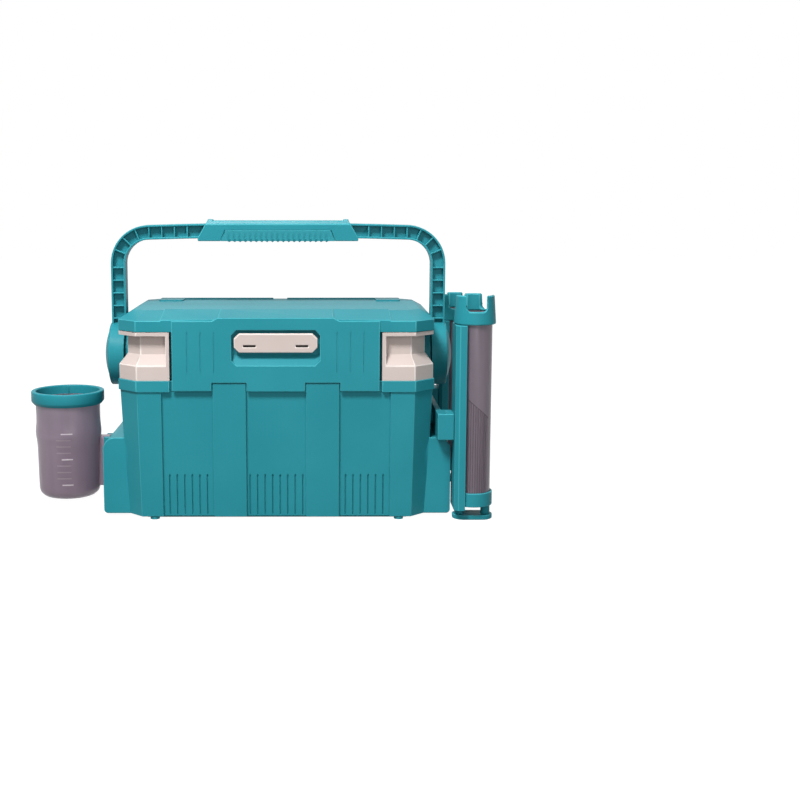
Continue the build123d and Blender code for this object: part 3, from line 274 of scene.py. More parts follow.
@dataclass(frozen=True)
class SoftRubber:
    """Matte rubber with a fine speckle."""

    name: str
    dark: Colour
    light: Colour
    roughness: float = 0.72
    gloss: float = 0.3
    speckle_scale: float = 900.0
    speckle_detail: float = 4.0
    speckle_depth: float = 0.0002

    def material(self) -> bpy.types.Material:
        """Makes the material."""
        sheet = NodeSheet(self.name)
        speckle = sheet.noise(self.speckle_scale, self.speckle_detail)
        tint = sheet.between(sheet.spread(speckle, 0.0, 1.0), self.dark, self.light)
        sheet.link(tint, sheet.shader.inputs["Base Color"])
        sheet.relief(speckle, self.speckle_depth)
        sheet.set(Roughness=self.roughness, Specular_IOR_Level=self.gloss)
        return sheet.material


@dataclass(frozen=True)
class PlatedSteel:
    """Zinc-plated steel with faint turning marks."""

    name: str
    dark: Colour
    light: Colour
    rough_low: float = 0.22
    rough_high: float = 0.4
    mark_scale: float = 700.0
    mark_detail: float = 4.0

    def material(self) -> bpy.types.Material:
        """Makes the material."""
        sheet = NodeSheet(self.name)
        marks = sheet.noise(self.mark_scale, self.mark_detail)
        tint = sheet.between(sheet.spread(marks, 0.0, 1.0), self.dark, self.light)
        sheet.link(tint, sheet.shader.inputs["Base Color"])
        rough = sheet.spread(marks, self.rough_low, self.rough_high)
        sheet.link(rough, sheet.shader.inputs["Roughness"])
        sheet.set(Metallic=1.0)
        return sheet.material


TEAL = MouldedPlastic("teal_plastic", (0.018, 0.222, 0.268), (0.023, 0.246, 0.294))
# The edge finishes are lighter copies that the bevels take: a painted highlight along the rounded edges.
TEAL_EDGE_HIGHLIGHT = MouldedPlastic("teal_plastic_painted_edge_highlight", (0.040, 0.310, 0.360), (0.052, 0.345, 0.395))
TEAL_SHEEN = MouldedPlastic("teal_plastic_sheen", TEAL.dark, TEAL.light, 0.24, 0.32, gloss=0.6)
CREAM = MouldedPlastic("cream_plastic", (0.525, 0.444, 0.414), (0.560, 0.478, 0.448))
# Lighter cream copy for the bevel faces: a painted highlight along the rounded edges.
CREAM_EDGE_HIGHLIGHT = MouldedPlastic("cream_plastic_painted_edge_highlight", (0.690, 0.620, 0.585), (0.730, 0.660, 0.625))
# Near-black painted shade for the floors of the latch plate's shallow slots, standing in for deep shadow.
SLOT_PAINTED_SHADE = MouldedPlastic("latch_slot_painted_shade", (0.030, 0.025, 0.024), (0.045, 0.038, 0.036))
BUSH = MouldedPlastic("bush_plastic", (0.022, 0.022, 0.025), (0.032, 0.032, 0.036))
SMOKE_CUP = SmokedPlastic(
    "smoke_plastic_cup", (0.268, 0.182, 0.254), (0.310, 0.217, 0.296), 0.12, milkiness=0.85, scatter=0.05
)
SMOKE_TUBE = SmokedPlastic("smoke_plastic_tube", (0.150, 0.118, 0.155), (0.225, 0.180, 0.225), 0.25)
SMOKE_MARK = SmokedPlastic("smoke_plastic_mark", (0.700, 0.620, 0.670), (0.780, 0.700, 0.745), 0.05)
SMOKE_FAINT = SmokedPlastic("smoke_plastic_faint", (0.340, 0.250, 0.312), (0.400, 0.305, 0.365), 0.2)
SMOKE_RIB = SmokedPlastic("smoke_plastic_rib", (0.085, 0.058, 0.080), (0.130, 0.095, 0.122), 0.1)
GRIP_RUBBER = SoftRubber("teal_rubber", (0.016, 0.222, 0.266), (0.022, 0.252, 0.298))
BLACK_RUBBER = SoftRubber("foot_rubber", (0.012, 0.012, 0.013), (0.022, 0.022, 0.024))
STEEL = PlatedSteel("steel", (0.50, 0.50, 0.52), (0.64, 0.64, 0.66))


def arc(
    centre: tuple[float, float], radius: float, start: float, end: float, count: int
) -> list[tuple[float, float]]:
    """Divides an arc of a profile.

    Args:
        centre: Centre of the arc.
        radius: Radius of the arc.
        start: First angle in degrees.
        end: Last angle in degrees.
        count: Number of points, both ends included.

    Returns:
        Points along the arc.
    """
    angles = [math.radians(start + (end - start) * index / (count - 1)) for index in range(count)]
    return [(centre[0] + radius * math.cos(a), centre[1] + radius * math.sin(a)) for a in angles]


def turned(
    profile: Sequence[tuple[float, float]], centre: Vector, axis: Vector, outward: Vector
) -> bmesh.types.BMesh:
    """Turns a closed profile a full turn round an axis.

    Args:
        profile: Pairs of radius and height, in order round the profile.
        centre: Point on the axis at height zero.
        axis: Direction of height.
        outward: Direction of radius, square to the axis.

    Returns:
        Closed mesh.
    """
    bm = bmesh.new()
    corners = [bm.verts.new(centre + outward * radius + axis * height) for radius, height in profile]
    edges = [bm.edges.new(pair) for pair in zip(corners, corners[1:] + corners[:1])]
    bmesh.ops.spin(
        bm, geom=corners + edges, cent=centre, axis=axis, angle=FULL_TURN, steps=ROUND_STEPS, use_merge=True
    )
    bmesh.ops.remove_doubles(bm, verts=bm.verts, dist=WELD)
    bmesh.ops.dissolve_degenerate(bm, edges=bm.edges, dist=WELD)
    bmesh.ops.recalc_face_normals(bm, faces=bm.faces)
    return bm


def wrapped_strip(
    bm: bmesh.types.BMesh,
    place: Callable[[float, float], Vector],
    across: int,
    thickness: float,
) -> None:
    """Adds a thin strip that follows a curved wall.

    Args:
        bm: Mesh that takes the strip.
        place: Gives the point at a share along and a share up the strip.
        across: Number of faces along the strip.
        thickness: Thickness of the strip.
    """
    grid = bmesh.ops.create_grid(bm, x_segments=across, y_segments=1, size=0.5)
    for vert in grid["verts"]:
        vert.co = place(vert.co.x + 0.5, vert.co.y + 0.5)
    faces = list({face for vert in grid["verts"] for face in vert.link_faces})
    bmesh.ops.recalc_face_normals(bm, faces=faces)
    bmesh.ops.solidify(bm, geom=faces, thickness=thickness)


@dataclass(frozen=True)
class SocketScrew:
    """Round-head screw with a hexagon socket."""

    head_radius: float
    head_thick: float
    shank_radius: float
    length: float
    sides: int = 24
    socket_sides: int = 6
    crown_share: float = 0.82
    socket_share: float = 0.46
    pit_share: float = 0.6
    shoulder_share: float = 0.25

    def add(self, bm: bmesh.types.BMesh, place: Matrix) -> None:
        """Adds the screw to a mesh.

        Args:
            bm: Mesh that takes the screw.
            place: Matrix that puts the head's top at its place, with the shank along -Z.
        """
        crown = self.circle(bm, self.crown_share, self.sides, place)
        socket = self.circle(bm, self.socket_share, self.socket_sides, place)
        crown_loop = list({e for v in crown for e in v.link_edges})
        socket_loop = list({e for v in socket for e in v.link_edges})
        bmesh.ops.bridge_loops(bm, edges=crown_loop + socket_loop)
        pit = bmesh.ops.extrude_edge_only(bm, edges=socket_loop)["geom"]
        pit_verts = [g for g in pit if isinstance(g, bmesh.types.BMVert)]
        down = place.to_3x3() @ -UP
        bmesh.ops.translate(bm, verts=pit_verts, vec=down * self.head_thick * self.pit_share)
        bmesh.ops.contextual_create(bm, geom=pit_verts)
        ring, loop = crown, crown_loop
        for radius, depth in (
            (self.head_radius, self.shoulder_share * self.head_thick),
            (self.head_radius, self.head_thick),
            (self.shank_radius, self.head_thick),
            (self.shank_radius, self.length),
        ):
            made = bmesh.ops.extrude_edge_only(bm, edges=loop)["geom"]
            ring = [g for g in made if isinstance(g, bmesh.types.BMVert)]
            loop = [g for g in made if isinstance(g, bmesh.types.BMEdge) and set(g.verts) <= set(ring)]
            for vert in ring:
                local = place.inverted() @ vert.co
                flat = Vector((local.x, local.y, 0)).normalized() * radius
                vert.co = place @ Vector((flat.x, flat.y, -depth))
        bmesh.ops.contextual_create(bm, geom=ring)
        bmesh.ops.recalc_face_normals(bm, faces=bm.faces)

    def circle(
        self, bm: bmesh.types.BMesh, share: float, sides: int, place: Matrix
    ) -> list[bmesh.types.BMVert]:
        """Adds a circle on the head's top.

        Args:
            bm: Mesh that takes the circle.
            share: Radius as a share of the head's radius.
            sides: Number of sides.
            place: Matrix of the screw.

        Returns:
            Corners of the circle.
        """
        radius = self.head_radius * share
        return bmesh.ops.create_circle(bm, radius=radius, segments=sides, matrix=place)["verts"]


def inside(point: Vector, box: tuple[Vector, Vector], margin: Sequence[float]) -> bool:
    """Tells whether a point lies in a box.

    Args:
        point: Point to test.
        box: Low and high corner.
        margin: Growth of the box along X, Y and Z.

    Returns:
        True inside the grown box.
    """
    low, high = box
    return all(a - m < p < b + m for a, p, b, m in zip(low, point, high, margin))


def everywhere(point: Vector) -> bool:
    """Picks every point, which leaves all edges of a piece sharp."""
    return True


class Workshop:
    """Turns finished meshes into pieces that ride on their bodies."""

    sharp_angle = math.radians(28)
    bevel_steps = 2
    bevel_profile = 0.5

    def __init__(self) -> None:
        """Makes the finishes and reads the record's slots."""
        self.slots = {row["node"]: Slot(row["material_slot"]) for row in frame["record"]["subparts"]}
        self.looks = {
            Slot.TEAL_PLASTIC: (TEAL.material(), TEAL_EDGE_HIGHLIGHT.material()),
            Slot.TEAL_RUBBER: (GRIP_RUBBER.material(),),
            Slot.CREAM_PLASTIC: (CREAM.material(), CREAM_EDGE_HIGHLIGHT.material()),
            Slot.SMOKE_PLASTIC: (SMOKE_TUBE.material(),),
            Slot.FOOT_RUBBER: (BLACK_RUBBER.material(),),
            Slot.BUSH_PLASTIC: (BUSH.material(),),
            Slot.STEEL: (STEEL.material(),),
        }

    def seat(
        self,
        name: str,
        bm: bmesh.types.BMesh,
        node: str,
        materials: Optional[Sequence[bpy.types.Material]] = None,
        replaces: bool = True,
    ) -> bpy.types.Object:
        """Makes a piece of a mesh and puts it on the body of a node.

        Args:
            name: Name of the piece.
            bm: Finished mesh, which is freed.
            node: Node whose body and slot the piece takes.
            materials: Materials in place of the slot's own.
            replaces: Whether the piece stands for the node.

        Returns:
            The new piece.
        """
        mesh = bpy.data.meshes.new(name)
        bm.to_mesh(mesh)
        bm.free()
        piece = bpy.data.objects.new(name, mesh)
        bpy.context.scene.collection.objects.link(piece)
        slot = self.slots[node]
        for material in materials or self.looks[slot]:
            mesh.materials.append(material)
        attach(piece, frame["nodes"][node]["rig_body"])
        if replaces:
            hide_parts(node)
        log.info("%s: %d faces", name, len(mesh.polygons))
        return piece

    def shade(self, bm: bmesh.types.BMesh, crease: Optional[float] = None) -> None:
        """Shades a mesh smooth, with its sharp edges kept.

        Args:
            bm: Mesh to shade.
            crease: Angle that counts as sharp, in place of the usual one.
        """
        limit = self.sharp_angle if crease is None else crease
        for face in bm.faces:
            face.smooth = True
        for edge in bm.edges:
            if len(edge.link_faces) == 2:
                edge.smooth = edge.calc_face_angle(0.0) < limit

    def rounded(
        self,
        node: str,
        edge_width: float,
        plain: Optional[Callable[[Vector], bool]] = None,
        crease: Optional[float] = None,
        accent: Optional[Callable[[bmesh.types.BMFace], bool]] = None,
        accent_material: Optional[bpy.types.Material] = None,
    ) -> bpy.types.Object:
        """Copies a node with its outer edges rounded as a mould leaves them.

        Args:
            node: Node to copy and stand for.
            edge_width: Width of the rounding.
            plain: Test of an edge's middle that leaves the edge sharp.
            crease: Angle that is shaded as sharp, in place of the usual one.
            accent: Test that picks faces for another material.
            accent_material: Material of the picked faces.

        Returns:
            The new piece.
        """
        bm = bmesh.new()
        bm.from_mesh(frame["nodes"][node].data)
        bmesh.ops.remove_doubles(bm, verts=bm.verts, dist=CAD_WELD)
        bmesh.ops.dissolve_degenerate(bm, edges=bm.edges, dist=CAD_WELD)
        self.shade(bm, crease)
        weight = bm.edges.layers.float.new("bevel_weight_edge")
        for edge in bm.edges:
            if edge.calc_face_angle(0.0) < self.sharp_angle or not edge.is_convex:
                continue
            middle = (edge.verts[0].co + edge.verts[1].co) / 2
            if plain is None or not plain(middle):
                edge[weight] = 1.0
        materials = list(self.looks[self.slots[node]])
        for face in bm.faces:
            face.material_index = 0
        if accent:
            materials.append(accent_material)
            for face in bm.faces:
                if accent(face):
                    face.material_index = len(materials) - 1
        piece = self.seat(f"{node}_shell", bm, node, materials)
        bevel = piece.modifiers.new("moulded_edges", "BEVEL")
        bevel.limit_method = "WEIGHT"
        bevel.width = edge_width
        bevel.segments = self.bevel_steps
        bevel.profile = self.bevel_profile
        bevel.use_clamp_overlap = False
        # The bevel faces take the slot's second, lighter material where there is one: a painted edge
        # highlight.
        bevel.material = 1 if len(self.looks[self.slots[node]]) > 1 else -1
        evened = piece.modifiers.new("even_faces", "WEIGHTED_NORMAL")
        evened.mode = "FACE_AREA"
        evened.keep_sharp = True
        return piece


@dataclass
class BoxBody:
    """Tub, corner covers, feet, hinge pins and what is screwed to the sides."""

    shop: Workshop
    wall_edge: float = 0.9 * MM
    cover_edge: float = 1.0 * MM
    small_edge: float = 0.4 * MM
    rail_head: tuple[float, float] = (5.4 * MM, 3.0 * MM)
    rail_shank: float = 3.0 * MM
    cup_head: tuple[float, float] = (4.4 * MM, 2.0 * MM)
    cup_shank: float = 2.5 * MM
    groove_span: tuple[float, float] = (5.0 * MM, 63.0 * MM)
    pillar_edges: tuple[float, ...] = (38.5 * MM, 80.5 * MM, 146.0 * MM)
    panel_reach: float = 112.0 * MM
    hole_margin: tuple[float, float, float] = (20.0 * MM, 1.0 * MM, 1.0 * MM)

    def build(self) -> None:
        """Builds every piece of the box body."""
        holes = [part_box(node) for node in ("rail_screws", "cup_screws")]

        def at_screw(point: Vector) -> bool:
            """Picks the rims of the screw holes."""
            return any(inside(point, hole, self.hole_margin) for hole in holes)

        def fine_detail(point: Vector) -> bool:
            """Picks the tub's grooves and screw holes."""
            return self.in_groove(point) or at_screw(point)

        self.shop.rounded("tub", self.wall_edge, fine_detail)
        for end in ("front", "rear"):
            for side in ("left", "right"):
                self.shop.rounded(f"corner_panel_{end}_{side}", self.cover_edge)
        for node in ("feet", "pivot_screw_left", "pivot_screw_right"):
            self.shop.rounded(node, self.small_edge)
        self.shop.rounded("hinge_pins", self.small_edge, everywhere)
        self.shop.rounded("cup_bracket", self.small_edge, at_screw)
        self.shop.rounded("side_rail", self.wall_edge, at_screw)
        self.screws("rail_screws", Vector((1, 0, 0)), 1, self.rail_head, self.rail_shank)
        self.screws("cup_screws", Vector((-1, 0, 0)), 2, self.cup_head, self.cup_shank)

    def in_groove(self, point: Vector) -> bool:
        """Tells whether a point of the tub lies at one of its fine grooves.

        Args:
            point: Point to test.

        Returns:
            True at a groove of a front or rear panel.
        """
        low, high = self.groove_span
        beside_pillar = min(abs(abs(point.x) - edge) for edge in self.pillar_edges) < self.wall_edge
        return abs(point.y) > self.panel_reach and low < point.z < high and not beside_pillar

    def screws(
        self, node: str, outward: Vector, along: int, head: tuple[float, float], shank: float
    ) -> None:
        """Builds a pair of socket screws in place of a node.

        Args:
            node: Node of the pair.
            outward: Direction that the heads face.
            along: Index of the axis on which the two screws lie apart.
            head: Radius and thickness of a head.
            shank: Radius of a shank.
        """
        low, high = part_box(node)
        middle = (low + high) / 2
        face = high.x if outward.x > 0 else low.x
        across = 3 - along
        inset = (high[across] - low[across]) / 2
        turn = UP.rotation_difference(outward).to_matrix().to_4x4()
        bm = bmesh.new()
        for end in (low, high):
            place = Vector((face, middle.y, middle.z))
            place[along] = end[along] + (inset if end is low else -inset)
            SocketScrew(*head, shank, high.x - low.x).add(bm, Matrix.Translation(place) @ turn)
        self.shop.shade(bm)
        self.shop.seat(f"{node}_set", bm, node)


@dataclass
class LidAndLatch:
    """Lid shell with its seal, and the flip latch on its pin."""

    shop: Workshop
    lid_edge: float = 0.9 * MM
    plate_edge: float = 0.7 * MM
    small_edge: float = 0.3 * MM
    slot_face_band: tuple[float, float] = (0.5 * MM, 3.0 * MM)
    slot_facing: float = 0.9
    lid_crease: float = math.radians(2.0)
    seat_band: float = 2.4 * MM
    apron_rib_middle: float = 95.0 * MM
    apron_rib_reach: float = 20.0 * MM
    apron_rib_depth: float = 1.2 * MM
    apron_rib_half: float = 27.0 * MM
    bore_margin: tuple[float, float, float] = (0.6 * MM, 0.6 * MM, 0.6 * MM)

    def build(self) -> None:
        """Builds every piece of the lid and the latch."""
        low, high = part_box("lid")
        rib_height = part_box("latch_plate")[0].z

        def fine_detail(point: Vector) -> bool:
            """Picks the low ribs on the seat and the apron."""
            on_seat = point.z > high.z - self.seat_band
            in_ribs = (
                point.y < low.y + self.apron_rib_depth
                and abs(abs(point.x) - self.apron_rib_middle) < self.apron_rib_reach
                and abs(point.z - rib_height) < self.apron_rib_half
            )
            return on_seat or in_ribs

        self.shop.rounded("lid", self.lid_edge, fine_detail, self.lid_crease)
        self.shop.rounded("lid_seal", self.small_edge)
        self.shop.rounded("latch_pin", self.small_edge, everywhere)
        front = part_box("latch_plate")[0].y
        near, far = self.slot_face_band

        def in_slot(face: bmesh.types.BMFace) -> bool:
            """Picks the floors of the plate's two slots, which take a near-black painted shade in place of
            deep shadow.
            """
            depth = face.calc_center_median().y - front
            return face.normal.y < -self.slot_facing and near < depth < far

        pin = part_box("latch_pin")

        def at_bore(point: Vector) -> bool:
            """Picks the rims of the plate's pin bore."""
            return inside(point, pin, self.bore_margin)

        self.shop.rounded(
            "latch_plate",
            self.plate_edge,
            at_bore,
            accent=in_slot,
            accent_material=SLOT_PAINTED_SHADE.material(),
        )


@dataclass
class Handle:
    """Carrying bail with its hubs, caps and two-part grip."""

    shop: Workshop
    bail_edge: float = 0.6 * MM
    grip_edge: float = 1.2 * MM
    small_edge: float = 0.3 * MM
    pad_top_width: float = 141.0 * MM
    pad_height: float = 15.0 * MM
    pad_wall: float = 1.7 * MM
    flute_count: int = 19
    flute_pitch: float = 7.3 * MM
    flute_depth: float = 1.9 * MM
    flute_steps: int = 10
    path_steps: int = 62
    fade_rate: float = 2.2
    fade_start: float = 0.5
    face_share: float = 0.6
    screw_head_thick: float = 1.4 * MM
    screw_shank: float = 1.6 * MM
    dome_rise: float = 10.0 * MM
    dome_wall: float = 2.4 * MM
    rim_step: float = 1.6 * MM
    rim_width: float = 4.5 * MM
    rim_lead: float = 0.6 * MM
    mouth_inset: float = 7.2 * MM
    dome_steps: int = 14
    badge_radius: float = 15.0 * MM
    badge_depth: float = 1.0 * MM
    sheen_slope: tuple[float, float] = (0.3, 0.95)

    def build(self) -> None:
        """Builds every piece of the handle."""
        self.shop.rounded("handle_frame", self.bail_edge)
        low, high = self.sheen_slope

        def on_chamfer(face: bmesh.types.BMFace) -> bool:
            """Picks the chamfers along the top of the grip."""
            return low < face.normal.z < high

        sheen = TEAL_SHEEN.material()
        self.shop.rounded("grip_shell", self.grip_edge, accent=on_chamfer, accent_material=sheen)
        self.pad()
        self.grip_screws()
        for side in ("left", "right"):
            self.shop.rounded(f"pivot_bush_{side}", self.small_edge)
            self.cap(side)

    def pad(self) -> None:
        """Builds the fluted rubber channel under the grip."""
        low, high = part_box("grip_pad")
        middle = (low + high) / 2
        depth = high.y - low.y
        path = 2 * self.pad_height + depth
        bm = bmesh.new()
        columns = self.flute_count * self.flute_steps
        bmesh.ops.create_grid(bm, x_segments=columns, y_segments=self.path_steps, size=0.5)
        bottom_width = high.x - low.x
        fluted = self.flute_count * self.flute_pitch / 2
        for vert in bm.verts:
            run = (vert.co.y + 0.5) * path
            share = vert.co.x * 2
            if run < self.pad_height:
                drop, y = run, low.y
            elif run < self.pad_height + depth:
                drop, y = self.pad_height, low.y + run - self.pad_height
            else:
                drop, y = path - run, high.y
            half = (self.pad_top_width + (bottom_width - self.pad_top_width) * drop / self.pad_height) / 2
            x = share * half
            sink = 0.0
            if abs(x) < fluted:
                wave = 0.5 + 0.5 * math.cos(FULL_TURN * x / self.flute_pitch)
                fade = min(1.0, max(0.0, drop / self.pad_height * self.fade_rate - self.fade_start))
                sink = self.flute_depth * wave * wave * fade
            if drop < self.pad_height:
                y += math.copysign(self.face_share * sink, middle.y - y)
            z = low.z + self.pad_height - drop + (sink if drop >= self.pad_height else 0.0)
            vert.co = Vector((middle.x + x, y, z))
        bmesh.ops.recalc_face_normals(bm, faces=bm.faces)
        if min(bm.faces, key=lambda face: face.calc_center_median().z).normal.z > 0:
            bmesh.ops.reverse_faces(bm, faces=bm.faces)
        self.shop.shade(bm)
        piece = self.shop.seat("grip_pad_fluted", bm, "grip_pad")
        wall = piece.modifiers.new("pad_wall", "SOLIDIFY")
        wall.thickness = self.pad_wall
        wall.offset = -1.0

    def grip_screws(self) -> None:
        """Builds the two screws under the grip."""
        low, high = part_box("grip_screws")
        head = (high.y - low.y) / 2
        turn = Matrix.Rotation(math.pi, 4, "X")
        bm = bmesh.new()
        for x in (low.x + head, high.x - head):
            place = Matrix.Translation((x, (low.y + high.y) / 2, low.z)) @ turn
            SocketScrew(head, self.screw_head_thick, self.screw_shank, high.z - low.z).add(bm, place)
        self.shop.shade(bm)
        self.shop.seat("grip_screws_set", bm, "grip_screws")

    def cap(self, side: str) -> None:
        """Builds a domed hub cap with a stepped rim and a sunk middle.

        Args:
            side: Side of the box, left or right.
        """
        node = f"pivot_cap_{side}"
        low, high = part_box(node)
        way = 1.0 if side == "right" else -1.0
        radius = (high.z - low.z) / 2
        centre = Vector((low.x if way > 0 else high.x, (low.y + high.y) / 2, (low.z + high.z) / 2))
        inner = radius - self.rim_width
        rise = self.dome_rise - self.rim_step
        ball = (inner**2 + rise**2) / (2 * rise)
        edge_angle = math.degrees(math.asin(inner / ball))
        badge_angle = math.degrees(math.asin(self.badge_radius / ball))
        ball_centre = (0.0, self.dome_rise - ball)
        dome = arc(ball_centre, ball, 90 - edge_angle, 90 - badge_angle, self.dome_steps)
        badge_height = dome[-1][1] - self.badge_depth
        outside = [
            (radius, 0.0),
            (radius, 0.5 * self.rim_step),
            (radius - 0.5 * self.rim_step, self.rim_step),
            (inner + self.rim_lead, self.rim_step),
            *dome,
            (self.badge_radius - self.badge_depth, badge_height),
            (0.0, badge_height),
        ]
        hollow = [(0.0, badge_height - self.dome_wall), (radius - self.mouth_inset, 0.0)]
        bm = turned(outside + hollow, centre, Vector((way, 0, 0)), UP)
        self.shop.shade(bm)
        self.shop.seat(f"{node}_dome", bm, node)


@dataclass
class RodHolder:
    """Bracket, clear tube, notched collar, base ring and stirrup foot at one end of the rail."""

    shop: Workshop
    end: str
    edge: float = 0.8 * MM
    collar_edge: float = 1.6 * MM
    foot_edge: float = 0.9 * MM
    tube_radius: float = 22.5 * MM
    tube_wall: float = 2.0 * MM
    tube_steps: int = 20
    line_low: float = 134.0 * MM
    line_high: float = 159.0 * MM
    line_start: float = 41.0
    line_end: float = 116.0
    line_width: float = 1.7 * MM
    line_steps: int = 24
    rib_count: int = 9
    rib_step: float = 7.6
    rib_width: float = 1.1 * MM
    proud: float = 0.6 * MM

    def build(self) -> None:
        """Builds every piece of the rod holder."""
        bracket = f"rod_bracket_{self.end}"
        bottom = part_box(bracket)[0].z

        def at_bottom(point: Vector) -> bool:
            """Picks the edges of the bracket's lower end."""
            return point.z < bottom + self.edge

        self.shop.rounded(bracket, self.edge, at_bottom)
        self.shop.rounded(f"rod_collar_{self.end}", self.collar_edge)
        self.shop.rounded(f"rod_base_ring_{self.end}", self.edge)
        self.shop.rounded(f"rod_foot_{self.end}", self.foot_edge)
        low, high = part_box(f"rod_base_ring_{self.end}")
        self.centre = (low + high) / 2
        self.centre.z = 0.0
        self.way = -1.0 if self.end == "front" else 1.0
        self.tube()
        self.ribs(high.z)

    def tube(self) -> None:
        """Builds the clear tube."""
        node = f"rod_tube_{self.end}"
        low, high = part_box(node)
        inner = self.tube_radius - self.tube_wall
        rise = (high.z - low.z) / self.tube_steps
        heights = [low.z + rise * step for step in range(self.tube_steps + 1)]
        profile = [(self.tube_radius, z) for z in heights] + [(inner, z) for z in reversed(heights)]
        bm = turned(profile, self.centre, UP, FRONT)
        self.shop.shade(bm)
        self.shop.seat(f"{node}_clear", bm, node)

    def on_wall(self, angle: float, height: float) -> Vector:
        """Gives a point on the tube's wall.

        Args:
            angle: Degrees from the outer side towards the end of the box.
            height: Height above the ground.

        Returns:
            The point, half a strip outside the wall.
        """
        turn = math.radians(angle) * self.way
        reach = self.tube_radius + self.proud / 2
        return self.centre + Vector((reach * math.cos(turn), reach * math.sin(turn), height))

    def ribs(self, base: float) -> None:
        """Builds the sloping line on the tube and the ribs below it.

        Args:
            base: Height that the ribs start from.
        """
        slope = (self.line_high - self.line_low) / (self.line_end - self.line_start)
        bm = bmesh.new()

        def line(along: float, up: float) -> Vector:
            """Gives a point of the sloping line."""
            angle = self.line_start + (self.line_end - self.line_start) * along
            middle = self.line_low + slope * (angle - self.line_start)
            return self.on_wall(angle, middle + self.line_width * (up - 0.5))

        wrapped_strip(bm, line, self.line_steps, self.proud)
        for step in range(self.rib_count):
            angle = self.line_end - (step + 0.5) * self.rib_step
            top = self.line_low + slope * (angle - self.line_start)
            half = math.degrees(self.rib_width / self.tube_radius) / 2

            def rib(along: float, up: float) -> Vector:
                """Gives a point of the rib."""
                return self.on_wall(angle + half * (2 * along - 1), base + (top - base) * up)

            wrapped_strip(bm, rib, 1, self.proud)
        self.shop.shade(bm)
        tube = f"rod_tube_{self.end}"
        self.shop.seat(f"{tube}_ribs", bm, tube, [SMOKE_RIB.material()], replaces=False)


